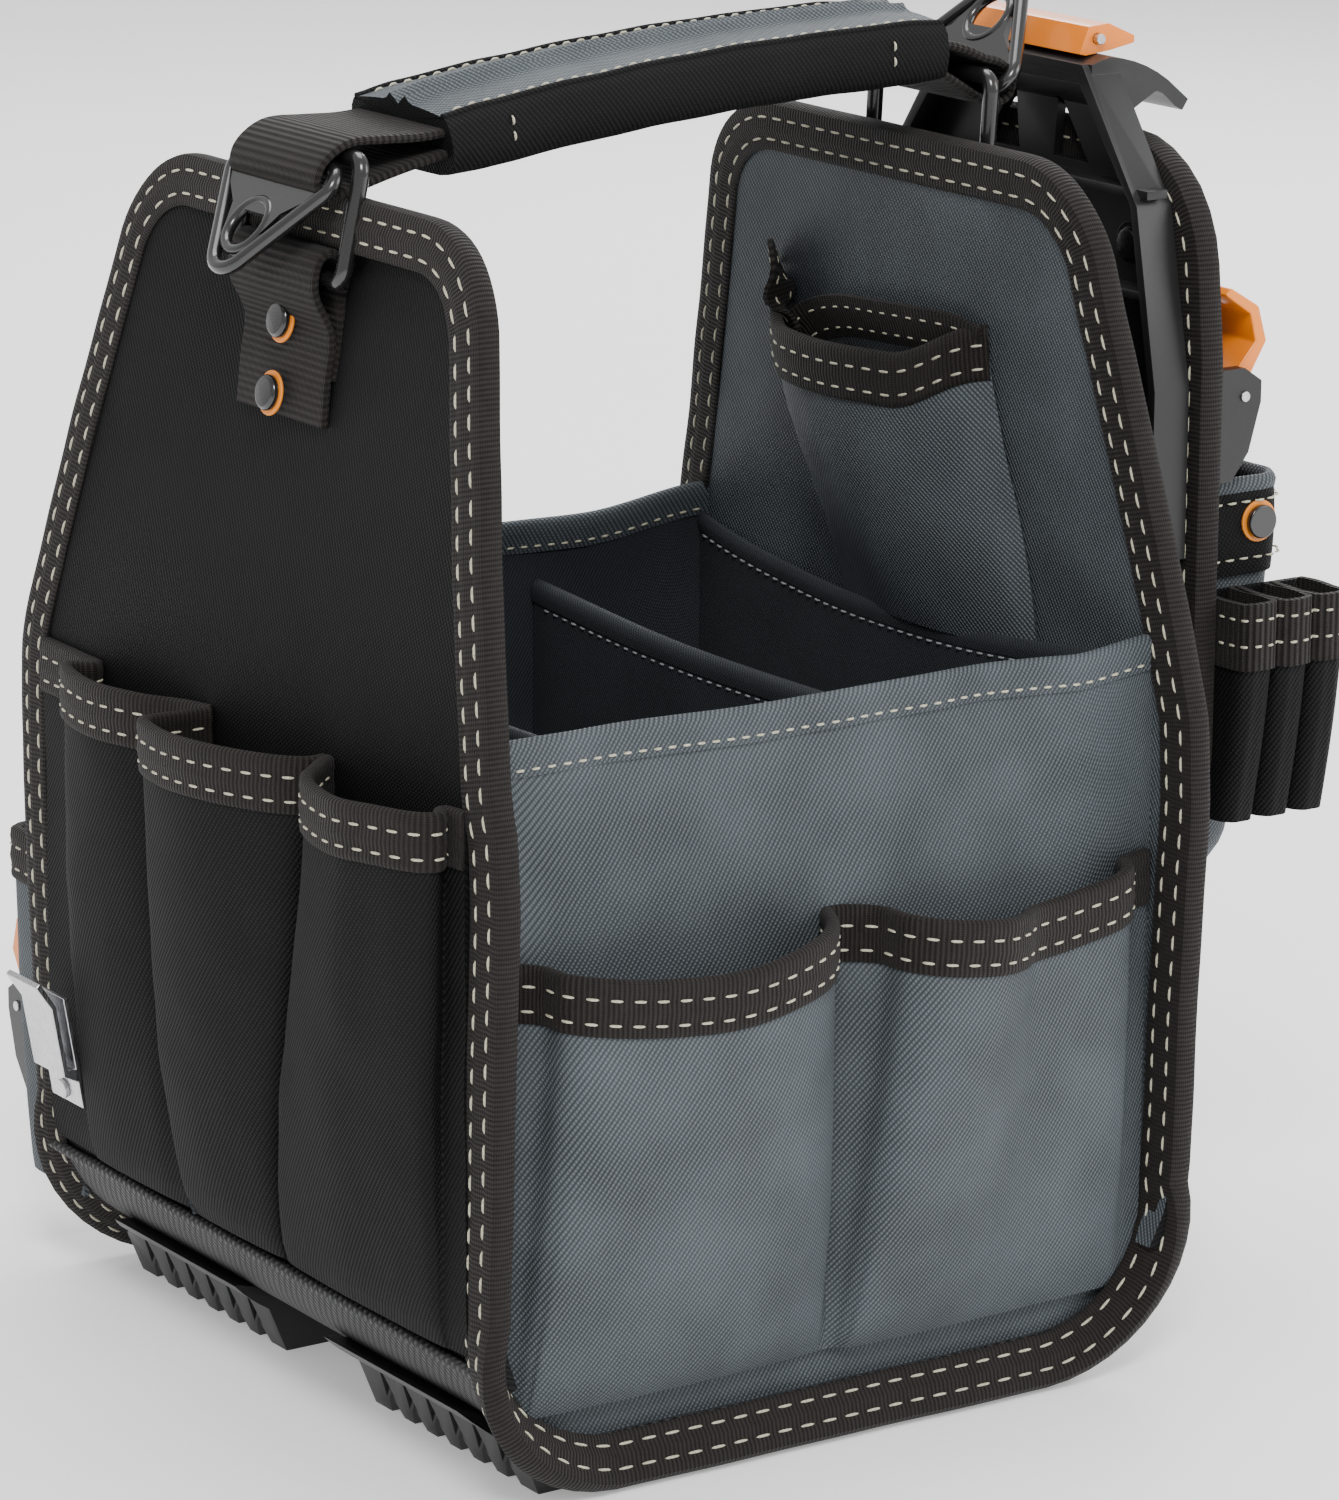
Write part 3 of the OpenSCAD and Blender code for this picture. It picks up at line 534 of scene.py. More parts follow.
BLACK = twill("black_twill", (0.0015, 0.0015, 0.0017), (0.0085, 0.0085, 0.009), sheen=0.0, low=0.6, high=0.8)
GREY = twill("grey_twill", (0.02, 0.0235, 0.027), (0.128, 0.146, 0.161), sheen=0.0, low=0.45, high=0.68)
LINING = twill("dark_lining", (0.011, 0.013, 0.015), (0.042, 0.048, 0.054), sheen=0.03, depth=0.14, pitch=1.0)
TAPE = grosgrain("binding_tape", (0.0025, 0.002, 0.0018), (0.018, 0.0138, 0.012))
WEBBING = grosgrain("webbing", (0.0025, 0.002, 0.0018), (0.02, 0.0155, 0.0135), pitch=1.9, depth=0.8)
BASE = beaded("base_fabric", (0.006, 0.006, 0.0065), (0.05, 0.05, 0.052))
PLASTIC = moulded("black_plastic", (0.006, 0.006, 0.0065), (0.016, 0.016, 0.017))
ORANGE = moulded("orange_plastic", (0.86, 0.2, 0.002), (0.98, 0.27, 0.004), low=0.25, high=0.38, coat=0.25)
WASHER = moulded("orange_washer", (0.75, 0.2, 0.01), (0.9, 0.3, 0.02), low=0.25, high=0.4)
BLACK_METAL = moulded("black_metal", (0.006, 0.006, 0.006), (0.014, 0.014, 0.014), 0.16, 0.28, 0.01, coat=0.5)
STEEL = brushed("steel", (0.42, 0.42, 0.43), (0.68, 0.68, 0.7))
CREAM = thread_finish("cream_thread", (0.33, 0.31, 0.23), (0.6, 0.58, 0.45))
GREY_THREAD = thread_finish("grey_thread", (0.12, 0.13, 0.135), (0.3, 0.32, 0.33))

cream = {"bag": Thread(), "handle": Thread(), "pouch": Thread()}
grey_stitch = Thread()


# ---------------------------------------------------------------- end panels
def lean(z, front):
    """How far an end panel's face has leaned in at height z; the foot follows the base's corner."""
    if z < PANEL_FOOT:
        drop = PANEL_FOOT - z
        return CORNER_R - math.sqrt(CORNER_R ** 2 - drop ** 2)
    t = max(z - LEAN_FROM, 0) / (PANEL_TOP - LEAN_FROM)
    return (FRONT_LEAN if front else REAR_LEAN) * t ** 1.25


def dish(y, z, front):
    """How far the middle of the front panel is drawn in under the strap."""
    if not front or abs(y) > 88:
        return 0.0
    return 4.0 * math.cos(math.pi * y / 176) ** 2 * smooth((z - 200) / 90)


def face_x(z, front, y=None):
    draw = lean(z, front) + (dish(y, z, front) if y is not None else 0)
    return draw if front else BAG_L - draw


ARC_FROM = math.radians(12.4)
ARC_START = (TOP_C[0] + TOP_R * math.cos(ARC_FROM), TOP_C[1] + TOP_R * math.sin(ARC_FROM))


def half_width(z):
    if z <= PANEL_FOOT:
        return WALL_Y + BIND_W * math.sqrt(1 - min((PANEL_FOOT - z) / CORNER_R, 1) ** 2)
    if z <= SHOULDER_Z - 14:
        return lerp(FOOT_HALF, SHOULDER_HALF, (z - PANEL_FOOT) / (SHOULDER_Z - 14 - PANEL_FOOT))
    if z <= SHOULDER_Z + 6:
        return lerp(SHOULDER_HALF, SHOULDER_HALF - 1, (z - SHOULDER_Z + 14) / 20)
    if z <= ARC_START[1]:
        t = (z - SHOULDER_Z - 6) / (ARC_START[1] - SHOULDER_Z - 6)
        return lerp(SHOULDER_HALF - 1, ARC_START[0], t)
    return TOP_C[0] + math.sqrt(max(TOP_R ** 2 - (z - TOP_C[1]) ** 2, 0))


def panel_heights():
    zs = [WRAP_TOP - 6, WRAP_TOP + 4]
    while zs[-1] < TOP_C[1] - 6:
        zs.append(zs[-1] + 5.5)
    zs += [TOP_C[1] + TOP_R * math.sin(math.radians(a)) for a in range(4, 91, 6)]
    return zs


def end_panel(front):
    out = (-1, 0, 0) if front else (1, 0, 0)
    seed = 1.7 if front else 5.3
    cols = 56
    grid = []
    for z in panel_heights():
        half = half_width(z) - 1.0
        row = []
        for j in range(cols + 1):
            y = half * (2 * j / cols - 1)
            give = 0.8 * ripple(y, z, 70, seed) * smooth((half - abs(y)) / 20)
            crown = 1.2 * smooth((240 - z) / 60) * math.cos(math.pi * y / (2 * half)) * math.sin(math.pi * min(z / PANEL_TOP, 1))
            row.append(Vector((face_x(z, front, y) + out[0] * (give + crown), y, z)))
        grid.append(row)
    name = "front_panel_cloth" if front else "rear_panel_cloth"
    return cloth_sheet(name, grid, PANEL_T, out, [BLACK, GREY], "bag",
                       ["front_panel" if front else "rear_panel"])


end_panel(True)
end_panel(False)


# ---------------------------------------------------------------- binding round the whole shell
def panel_edge():
    """Half of an end panel's edge, from the top's middle down to the foot, as (y, z)."""
    pts = [(TOP_C[0] * i / 10, PANEL_TOP) for i in range(11)]
    pts += [(TOP_C[0] + TOP_R * math.cos(math.radians(a)), TOP_C[1] + TOP_R * math.sin(math.radians(a)))
            for a in range(84, 13, -6)]
    z = ARC_START[1]
    while z > PANEL_FOOT + 4:
        pts.append((half_width(z), z))
        z -= 4.5
    return pts


def half_loop(front, side):
    """Frames down one side of a panel and round its bottom corner, onto the base."""
    edge = panel_edge()
    end = Vector((-1, 0, 0)) if front else Vector((1, 0, 0))
    aside = Vector((0, side, 0))
    frames = []
    for i, (y, z) in enumerate(edge):
        y0, z0 = edge[max(i - 1, 0)]
        y1, z1 = edge[min(i + 1, len(edge) - 1)]
        run = math.hypot(y1 - y0, z1 - z0)
        ay, az = (z1 - z0) / run, -(y1 - y0) / run
        slope = lean(z + 1, front) - lean(z, front) if z > PANEL_FOOT else 0
        a = Vector((-end.x * slope * az, side * ay, az)).normalized()
        b = (end - a * end.dot(a)).normalized()
        wave = 0.5 * ripple(y + 300 * side, z, 24, 3.3 if front else 8.1)
        p = Vector((face_x(z, front), side * y, z)) - b * PANEL_T / 2
        frames.append((p + b * wave, a, b))
    corner = CORNER_R if front else BAG_L - CORNER_R
    return frames + [skirt_frame(corner, end, aside, math.radians(7.5 * k)) for k in range(13)]


def skirt_frame(x, end, aside, turn, sway=0.0):
    """Where the tape's flange stands as it turns from the panel's plane to the flared skirt."""
    down = Vector((0, 0, -1))
    radial = end * math.cos(turn) + down * math.sin(turn)
    outward = aside * math.cos(turn) + radial * math.sin(turn)
    outward = (outward + aside * FLARE * math.sin(turn) ** 2).normalized()
    ext = radial * math.cos(turn) - aside * math.sin(turn)
    ext = (ext - outward * ext.dot(outward)).normalized()
    reach = CORNER_R - (BIND_W - BASE_Z) * math.sin(turn)
    start = Vector((x, 0, PANEL_FOOT)) + radial * reach + aside * (WALL_Y + sway)
    thick = lerp(PANEL_T, 3.4, math.sin(turn))
    return start + outward * BIND_W - ext * thick / 2, -outward, ext


def base_run(side):
    """Frames along the base's edge between the corners."""
    count = 34
    frames = []
    for i in range(1, count):
        x = lerp(CORNER_R, BAG_L - CORNER_R, i / count)
        sway = 0.8 * ripple(x, side * 50, 30, 2.2)
        frames.append(skirt_frame(x, Vector((1, 0, 0)), Vector((0, side, 0)), math.pi / 2, sway))
    return frames


binding_loop = (half_loop(True, -1) + base_run(-1) + half_loop(False, -1)[::-1] + half_loop(False, 1)[1:]
                + base_run(1)[::-1] + half_loop(True, 1)[::-1][:-1])
BIND_INNER = 5.2
sweep("edge_tape", binding_loop, fold_section(BIND_W, BIND_INNER, 0.7, rows=(3.4, 9.7)), [TAPE], "bag",
      ["front_binding", "rear_binding", "base_binding"], closed=True)
for inset in (3.4, 9.7):
    for height in (BIND_INNER / 2 + 1.0, -BIND_INNER / 2 - 1.0):
        cream["bag"].row(binding_loop, inset, height, closed=True)


# ---------------------------------------------------------------- base
def base_band():
    """Coated cloth from one end panel's foot round under the base to the other's."""
    proud = 1.3
    profile = []
    for a in range(0, 91, 6):
        t = math.radians(a)
        profile.append((CORNER_R - (CORNER_R + proud) * math.cos(t), PANEL_FOOT - (CORNER_R + proud) * math.sin(t)))
    profile = [p for p in profile if p[1] < WRAP_TOP]
    lip = CORNER_R - math.sqrt((CORNER_R + proud) ** 2 - (PANEL_FOOT - WRAP_TOP) ** 2)
    profile.insert(0, (lip, WRAP_TOP))
    flat = [(lerp(CORNER_R, BAG_L - CORNER_R, i / 24), BASE_Z - proud) for i in range(1, 24)]
    half = profile + flat + [(BAG_L - x, z) for x, z in reversed(profile)]
    grid = []
    for x, z in half:
        wide = WALL_Y + max((BIND_W - 3) * math.sqrt(1 - min((PANEL_FOOT - z) / CORNER_R, 1) ** 2), 1)
        grid.append([Vector((x, wide * (2 * j / 44 - 1), z + 0.35 * ripple(x, j * 6, 40, 4.4))) for j in range(45)])
    cloth_sheet("base_band", grid, 3.2, (0, 0, -1), [BASE, LINING], "bag", ["base_wrap"])
    for front in (True, False):
        frames = []
        for j in range(49):
            y = (FOOT_HALF - 6) * (2 * j / 48 - 1)
            x = (lip - 0.4) if front else BAG_L - lip + 0.4
            frames.append((Vector((x, y, WRAP_TOP + 0.5 * ripple(y, 0, 30, 6.0))), Vector((1, 0, 0)),
                           Vector((0, 0, 1))))
        roll = [(1.9 * math.cos(math.radians(t)), 1.6 * math.sin(math.radians(t))) for t in range(0, 360, 30)]
        sweep("base_roll_front" if front else "base_roll_rear", frames, roll, [BASE], "bag")


base_band()
for node in ("front_right_foot", "front_left_foot", "rear_right_foot", "rear_left_foot"):
    bevelled(node, 0.7, [PLASTIC], "bag", segments=2)
bevelled("base_board", 1.2, [LINING], "bag")
bevelled("foot_rivets", 0.4, [BLACK_METAL], "bag")


# ---------------------------------------------------------------- side walls
def wall_foot(x):
    """Height of the wall's lower edge at x, which follows the base's rounded corners."""
    near = min(x, BAG_L - x)
    reach = CORNER_R - 0.5
    drop = math.sqrt(reach ** 2 - min(max(CORNER_R - near, 0), reach) ** 2)
    return PANEL_FOOT - drop


def side_wall(side):
    name = "right" if side < 0 else "left"
    grid = []
    rows, cols = 34, 54
    for i in range(rows + 1):
        row = []
        for j in range(cols + 1):
            x = lerp(PANEL_T - 1, BAG_L - PANEL_T + 1, j / cols)
            t = i / rows
            lift = 1.6 * ripple(x, 0, 60, 7.0 + side) + (5 * smooth((x - 175) / 45) if side > 0 else
                                                       2.5 * smooth((x - 190) / 30))
            z = lerp(wall_foot(x), WALL_TOP + lift - 1.5, t)
            free = smooth((x - 5) / 30) * smooth((BAG_L - 5 - x) / 30)
            creases = 2.2 * ripple(x + 0.5 * z, z * 0.6, 44, 1.1 * side) + 0.7 * ripple(x, z, 17, 2.2 * side)
            y = WALL_Y + (1.2 + creases) * free * smooth(t * 2.2)
            row.append(Vector((x, side * y, z)))
        grid.append(row)
    out = (0, side, 0)
    cloth_sheet(name + "_wall_cloth", grid, 1.8, out, [GREY, LINING], "bag", [name + "_wall"])
    frames = [(p + Vector((0, 0, 0.8)) - b * 0.9, Vector((0, 0, -1)), b) for p, a, b in edge_frames(grid, out)]
    hem = [(9.5, 1.5), (8.4, 1.75), (4, 2.1), (1.2, 2.0), (0.1, 1.2), (-0.3, 0), (0.1, -1.2), (1.2, -2.0), (4, -2.1),
           (8.4, -1.75), (9.5, -1.5)]
    sweep(name + "_wall_hem", frames, hem, [GREY], "bag")
    cream["bag"].row(frames, 7.6, 1.95, pitch=4.6, fill=0.6)
    cream["bag"].row(frames, 7.6, -1.95, pitch=4.6, fill=0.6)


side_wall(-1)
side_wall(1)


# ---------------------------------------------------------------- pockets on the shell
def pocket(name, top, foot, z_foot, z_top, place, out, cloth, node, tape_node=None, body="bag", full=0.6,
           belly=2.0, tape_w=14.0, cols=64, rows=26, sway=1.0, seed=0.0):
    """A patch pocket: top and foot are its plan curves as (along, outward), with its tape and stitches."""
    upper = catmull([(u, w, 0) for u, w in top], cols)
    lower = catmull([(u, w, 0) for u, w in foot], cols)
    grid = []
    for i in range(rows + 1):
        t = i / rows
        row = []
        for a, b in zip(lower, upper):
            u = lerp(a.x, b.x, smooth(t))
            w = lerp(a.y, b.y, t ** full)
            loose = smooth(b.y / 12)
            w += belly * math.sin(math.pi * t) * loose
            z = lerp(z_foot, z_top(u) if callable(z_top) else z_top, t) + sway * ripple(u, 9, 26, seed) * t * loose
            w += 0.7 * ripple(u, z, 20, seed + 3) * math.sin(math.pi * t)
            row.append(place(u, max(w, 0.9), z))
        grid.append(row)
    cloth_sheet(name + "_cloth", grid, 1.5, out, [cloth, LINING], body, [node] if node else [])
    frames = [(p - b * 0.75, a, b) for p, a, b in edge_frames(grid, out)]
    frames = even(frames)
    sweep(name + "_tape", frames, fold_section(tape_w, 1.7, 0.35, rows=(4.0, 10.6)), [TAPE], body,
          [tape_node] if tape_node else [])
    for inset in (4.0, 10.6):
        cream[body].row(frames, inset, 0.85 + 0.95, pitch=6.4, fill=0.62, start=1.0 + 2 * random.random())
        cream[body].row(frames, inset, -0.85 - 0.95, pitch=6.4, fill=0.62, start=2.0)
    return grid, frames


def even(frames):
    """The same frames with their directions smoothed, so that a tape doesn't pinch at a pleat."""
    out = []
    last = len(frames) - 1
    for i, (p, a, b) in enumerate(frames):
        near = frames[max(i - 1, 0):min(i + 2, last + 1)]
        b2 = sum((f[2] for f in near), Vector()).normalized()
        a2 = sum((f[1] for f in near), Vector())
        a2 = (a2 - b2 * a2.dot(b2)).normalized()
        out.append((p, a2, b2))
    return out


def on_right(u, w, z):
    return Vector((u, -WALL_Y - w, z))


def on_left(u, w, z):
    return Vector((u, WALL_Y + w, z))


def on_front(u, w, z):
    return Vector((lean(z, True) - w, u, z))


SIDE_FOOT = SKIRT_Z + BIND_W + 9


def side_top(first, last):
    """Height along a side pocket's mouth, which hangs lower where it is full."""
    def height(u):
        return right_top + 0.5 - 4.5 * math.sin(math.pi * (u - first) / (last - first)) ** 2
    return height


right_top = box_mm("right_pocket_tape")[1].z
left_boxed = box_mm("left_pocket_tape")
front_top = box_mm("front_pocket_tape")[1].z

near_pocket = [(7, 1.5), (14, 3), (20, 7), (22, 16), (32, 22), (53, 26), (74, 28), (87, 26), (98, 21), (106, 13), (110, 5), (112, 2)]
near_foot = [(7, 1.5), (10, 1.7), (13, 2.4), (15.5, 3.6), (20, 4.6), (48, 5), (75, 4.6), (90, 3.8), (101, 2.8),
             (108, 2.0), (110.5, 1.7), (112, 1.6)]
far_pocket = [(112, 2), (117, 4), (124, 9), (126, 19), (135, 26), (150, 28), (160, 24), (168, 18), (184, 15.5), (198, 14),
              (205, 10), (207, 5), (217, 1.8)]
far_foot = [(112, 1.6), (113, 1.8), (114.5, 2.2), (116, 3), (119, 4.4), (132, 5), (152, 4.8), (170, 4.2), (184, 3.6),
            (196, 3), (205, 2.4), (210, 2), (217, 1.6)]
pocket("right_near_pocket", near_pocket, near_foot, SIDE_FOOT, side_top(7, 112), on_right, (0, -1, 0), GREY,
       "right_pockets", "right_pocket_tape", seed=1.0)
pocket("right_far_pocket", far_pocket, far_foot, SIDE_FOOT, side_top(112, 217), on_right, (0, -1, 0), GREY,
       None, None, seed=2.0)
pocket("left_far_pocket", far_pocket, far_foot, SIDE_FOOT, side_top(112, 217), on_left, (0, 1, 0), GREY,
       "left_pockets", "left_pocket_tape", seed=3.0)

box_out = left_boxed[1].y - WALL_Y - 1.2
box_plan = [(7, 0.9), (7.5, 12), (7.5, box_out - 8), (10, box_out - 2), (18, box_out), (54, box_out + 0.5),
            (90, box_out), (98, box_out - 2), (100.5, box_out - 8), (100.5, 12), (101, 0.9)]
box_foot = [(u, w * 0.8) for u, w in box_plan]
pocket("left_box_pocket", box_plan, box_foot, SIDE_FOOT, left_boxed[1].z - 22, on_left, (0, 1, 0), GREY,
       None, None, belly=1.0, cols=90, seed=4.0)

front_plans = {
    "front_left_pocket": (
        [(111, 1.6), (99, 2), (88, 2.4), (79, 3), (78, 5), (80, 8), (81, 11), (74, 14), (60, 15.5), (48, 14.5), (38, 11),
         (30, 6), (24, 3.5), (17, 1.8)],
        [(111, 1.6), (104, 1.6), (97, 1.8), (90, 2), (86, 2.2), (85, 2.6), (84, 3), (78, 3.4), (68, 3.6), (56, 3.5),
         (44, 3.2), (36, 2.6), (31, 2), (28, 1.6)]),
    "front_middle_pocket": (
        [(17, 1.8), (18, 8), (18.5, 15), (18, 22), (8, 24.5), (-6, 25), (-18, 23), (-30, 18.5), (-40, 13.5), (-45, 8),
         (-44, 1.8)],
        [(28, 1.6), (28.5, 2), (28.8, 2.4), (28.8, 2.8), (24, 3.4), (14, 3.6), (4, 3.5), (-6, 3.2), (-14, 2.8),
         (-18, 2.2), (-19, 1.6)]),
    "front_right_pocket": (
        [(-44, 1.8), (-46, 5), (-52, 11), (-57, 16), (-66, 20), (-82, 22), (-94, 19), (-103, 16), (-109, 12), (-110, 8),
         (-107, 5), (-105, 3.5), (-108, 2.6), (-112, 1.8)],
        [(-19, 1.6), (-20, 2), (-22, 2.6), (-27, 3.2), (-40, 3.6), (-56, 3.8), (-72, 3.6), (-86, 3.4), (-97, 3),
         (-101, 2.6), (-102, 2.2), (-103, 2), (-107, 1.8), (-112, 1.6)]),
}
front_nodes = {"front_middle_pocket": ("front_pockets", "front_pocket_tape")}
for k, (name, (plan, foot_plan)) in enumerate(front_plans.items()):
    nodes = front_nodes.get(name, (None, None))
    pocket(name, plan, foot_plan, WRAP_TOP + 4, front_top + 1, on_front, (-1, 0, 0), BLACK,
           nodes[0], nodes[1], full=0.75, belly=2.5, seed=5.0 + k)


# ---------------------------------------------------------------- inside: dividers and the rear lining
def divider(node, sag, bow, seed):
    low, high = box_mm(node)
    mid = (low.x + high.x) / 2
    rows, cols = 20, 44
    grid = []
    for i in range(rows + 1):
        t = i / rows
        row = []
        for j in range(cols + 1):
            y = lerp(low.y - 2, high.y + 2, j / cols)
            hang = 1 - (2 * j / cols - 1) ** 2
            z = lerp(low.z, high.z - sag * hang, t)
            x = mid + bow * hang * t + 1.4 * ripple(y, z, 50, seed) * hang * t - 1.6
            row.append(Vector((x, y, z)))
        grid.append(row)
    out = (-1, 0, 0)
    cloth_sheet(node + "_cloth", grid, 3.0, out, [LINING], "bag", [node])
    frames = [(p - b * 1.5, a, b) for p, a, b in edge_frames(grid, out)]
    roll = [(5.5, 1.9), (3, 2.3), (0.8, 2.1), (-0.7, 1.2), (-1.1, 0), (-0.7, -1.2), (0.8, -2.1), (3, -2.3), (5.5, -1.9)]
    sweep(node + "_roll", frames, roll, [LINING], "bag")
    for height in (2.0, -2.0):
        grey_stitch.row(frames, 6.6, height * 0.85, pitch=4.6, fill=0.55)


divider("front_divider", 4.0, -1.5, 1.0)
divider("rear_divider", 5.0, 2.0, 2.0)


def rear_lining():
    low, high = box_mm("rear_lining")
    rows, cols = 20, 44
    grid = []
    for i in range(rows + 1):
        t = i / rows
        row = []
        for j in range(cols + 1):
            y = lerp(low.y - 3, high.y + 3, j / cols)
            hang = 1 - (2 * j / cols - 1) ** 2
            z = lerp(low.z, high.z + 5 - 8 * hang, t)
            x = high.x - 1 - 7.5 * (0.35 + 0.65 * hang) * t ** 0.5 - 1.2 * ripple(y, z, 46, 9.0) * t
            row.append(Vector((x, y, z)))
        grid.append(row)
    out = (-1, 0, 0)
    cloth_sheet("rear_lining_cloth", grid, 1.6, out, [LINING], "bag", ["rear_lining"])
    frames = [(p - b * 0.8, a, b) for p, a, b in edge_frames(grid, out)]
    roll = [(4.5, 1.1), (2.5, 1.5), (0.6, 1.4), (-0.6, 0.8), (-0.9, 0), (-0.6, -0.8), (0.6, -1.4), (2.5, -1.5),
            (4.5, -1.1)]
    sweep("rear_lining_roll", frames, roll, [LINING], "bag")
    grey_stitch.row(frames, 5.4, 1.15, pitch=4.6, fill=0.55)


rear_lining()


# ---------------------------------------------------------------- tool pocket inside the rear panel
def inner_pocket():
    """A narrow tapered pocket whose tape is pinched flat and folded back on itself."""
    def inside(u, w, z):
        return Vector((face_x(z, False) - PANEL_T - w, u, z))
    top = [(-41, 1.2), (-38, 4), (-30, 9), (-14, 15), (4, 19), (22, 20), (36, 18), (46, 13), (51, 8), (53, 4), (52, 2)]
    foot = [(-57, 1.2), (-55, 2), (-50, 4), (-36, 8), (-20, 10), (-4, 10), (10, 8), (22, 6), (30, 4), (34, 2.4), (35, 1.2)]

    def mouth(u):
        return 279 - 11 * smooth((u + 42) / 30) + 5 * smooth((u - 36) / 16)
    pocket("inner_tool_pocket", top, foot, WALL_TOP - 14, mouth, inside, (-1, 0, 0), GREY,
           "inner_pocket", "inner_pocket_tape", full=0.8, belly=3.0, sway=0.4, seed=9.0)
    # the back half of the mouth's tape, sewn to the panel, looped over and standing up at its free end
    back = [(-40, 2.6, 279), (-30, 4, 281), (-14, 6, 281), (4, 6, 280), (22, 5, 278.5), (36, 5, 275), (43, 8, 270)]
    ear = [(51, 5, 272), (54, 3, 279), (55, 4, 286), (52, 7, 290), (48, 9, 286), (47, 9, 277), (44, 8, 270)]
    strip = [(6.5, 0.7), (3.2, 1.1), (0, 0.8), (-3.2, 1.1), (-6.5, 0.7), (-6.5, -0.7), (-3.2, -1.1), (0, -0.8),
             (3.2, -1.1), (6.5, -0.7)]
    for name, line in (("inner_pocket_back_tape", back), ("inner_pocket_ear", ear)):
        points = [inside(u, w, z - 5) for u, w, z in catmull(line, 28)]
        frames = []
        for i, p in enumerate(points):
            ahead = (points[min(i + 1, 28)] - points[max(i - 1, 0)]).normalized()
            across = Vector((-0.35, 0, 1))
            across = (across - ahead * across.dot(ahead)).normalized()
            frames.append((p, across, ahead.cross(across).normalized()))
        sweep(name, frames, strip, [TAPE], "bag")
        for inset in (3.2, -3.2):
            for height in (0.95, -0.95):
                cream["bag"].row(frames, inset, height, pitch=6.2, fill=0.62, start=1.5)


inner_pocket()


# ---------------------------------------------------------------- carry handle
GRIP_HALF = (GRIP[1].y - GRIP[0].y) / 2
GRIP_T = 19.0
GRIP_FROM, GRIP_TO = (GRIP[0].x + 2.0, 341.0), (GRIP[1].x, 354.0)
GRIP_RISE = 3.0
WEB_HALF = box_mm("handle_webbing")[1].y


def grip_mid(t):
    return Vector((lerp(GRIP_FROM[0], GRIP_TO[0], t), 0,
                   lerp(GRIP_FROM[1], GRIP_TO[1], t) + GRIP_RISE * math.sin(math.pi * t)))


def along_path(points, side=Vector((0, 1, 0))):
    """Frames along an XZ path for a section whose a runs across and whose b is the path's upper side."""
    frames = []
    for i, p in enumerate(points):
        ahead = (points[min(i + 1, len(points) - 1)] - points[max(i - 1, 0)]).normalized()
        frames.append((p, side, ahead.cross(side).normalized()))
    return frames


def grip():
    """The padded sleeve: a grey top strip with a double ridge between black twill sides."""
    count = 60
    frames = []
    for p, a, b in along_path([grip_mid(i / count) for i in range(count + 1)]):
        frames.append((p, a, -b if b.z < 0 else b))
    half, tall = GRIP_HALF, GRIP_T / 2
    strip = half - 4.5
    top = []
    for k in range(23):
        y = lerp(strip, -strip, k / 22)
        ridge = 2.1 * math.exp(-((abs(y) - 3.6) / 1.8) ** 2) - 0.8 * math.exp(-(y / 1.3) ** 2)
        crown = 1.6 * (1 - (y / strip) ** 2)
        top.append((y, tall - 1.4 + crown + ridge))
    seam = [(-strip - 0.5, tall - 2.0), (-strip - 1.3, tall - 1.5), (-half + 2.2, tall - 2.4), (-half + 0.9, tall - 4.4)]
    low = [(-half + 0.2, tall - 8), (-half, -1), (-half + 1.0, -tall + 3.5), (-half + 4, -tall + 0.9),
           (-half + 9, -tall + 0.1), (-half * 0.4, -tall)]
    right = seam + low
    left = [(-y, z) for y, z in reversed(right)]
    section = top + right + left
    mats = [1] * 22 + [0] * (len(section) - 22)
    shaped = []
    for i, (p, a, b) in enumerate(frames):
        t = i / count
        ends = smooth(t * 14) * smooth((1 - t) * 14)
        swell = 0.93 + 0.07 * ends + 0.012 * ripple(i * 3, 0, 12, 3.0)
        shaped.append((p + b * 0.25 * ripple(i * 3, 4, 16, 6.0), a * (0.985 + 0.015 * ends), b * swell))
    obj = sweep("grip_sleeve", shaped, section, [BLACK, GREY], "handle", ["handle_grip"],
                side_mats=mats, sharp=70)
    for side in (-1, 1):
        rim = [(p + a * side * (strip - 1.7) + b * (tall - 1.1), a, b) for p, a, b in shaped[1:-1]]
        cream["handle"].row(rim, 0, 0.25, pitch=4.6, fill=0.6)
        piping = [(0.95 * math.cos(math.radians(t)), 0.95 * math.sin(math.radians(t))) for t in range(0, 360, 36)]
        cord = [(p + a * side * (strip + 0.6) + b * (tall - 1.4), a, b) for p, a, b in shaped]
        sweep("grip_piping_right" if side < 0 else "grip_piping_left", cord, piping, [BLACK], "handle")
        for end in (7, count - 7):
            p, a, b = shaped[end]
            wall = [(p + a * side * (half + 0.05) + b * lerp(tall - 4.5, -tall + 3, k / 8), b, a * side)
                    for k in range(9)]
            cream["handle"].row(wall, 0, 0.2, pitch=4.2, fill=0.6, start=0.6)
    return shaped


grip()


def ribbon_section(half, thick):
    """A flat webbing band, a across and b through, with soft edges."""
    t = thick / 2
    return [(half, 0), (half - 0.5, t * 0.8), (half - 1.6, t), (0, t * 1.04), (-half + 1.6, t), (-half + 0.5, t * 0.8),
            (-half, 0), (-half + 0.5, -t * 0.8), (-half + 1.6, -t), (0, -t * 1.04), (half - 1.6, -t),
            (half - 0.5, -t * 0.8)]


def band(name, points, half, thick, body, nodes=(), steps=64, mat=None):
    path = [Vector((p.x, 0, p.y)) for p in catmull([(x, z, 0) for x, z in points], steps)]
    frames = along_path(path)
    obj = sweep(name, frames, ribbon_section(half, thick), [mat or WEBBING], body, nodes)
    return obj, frames


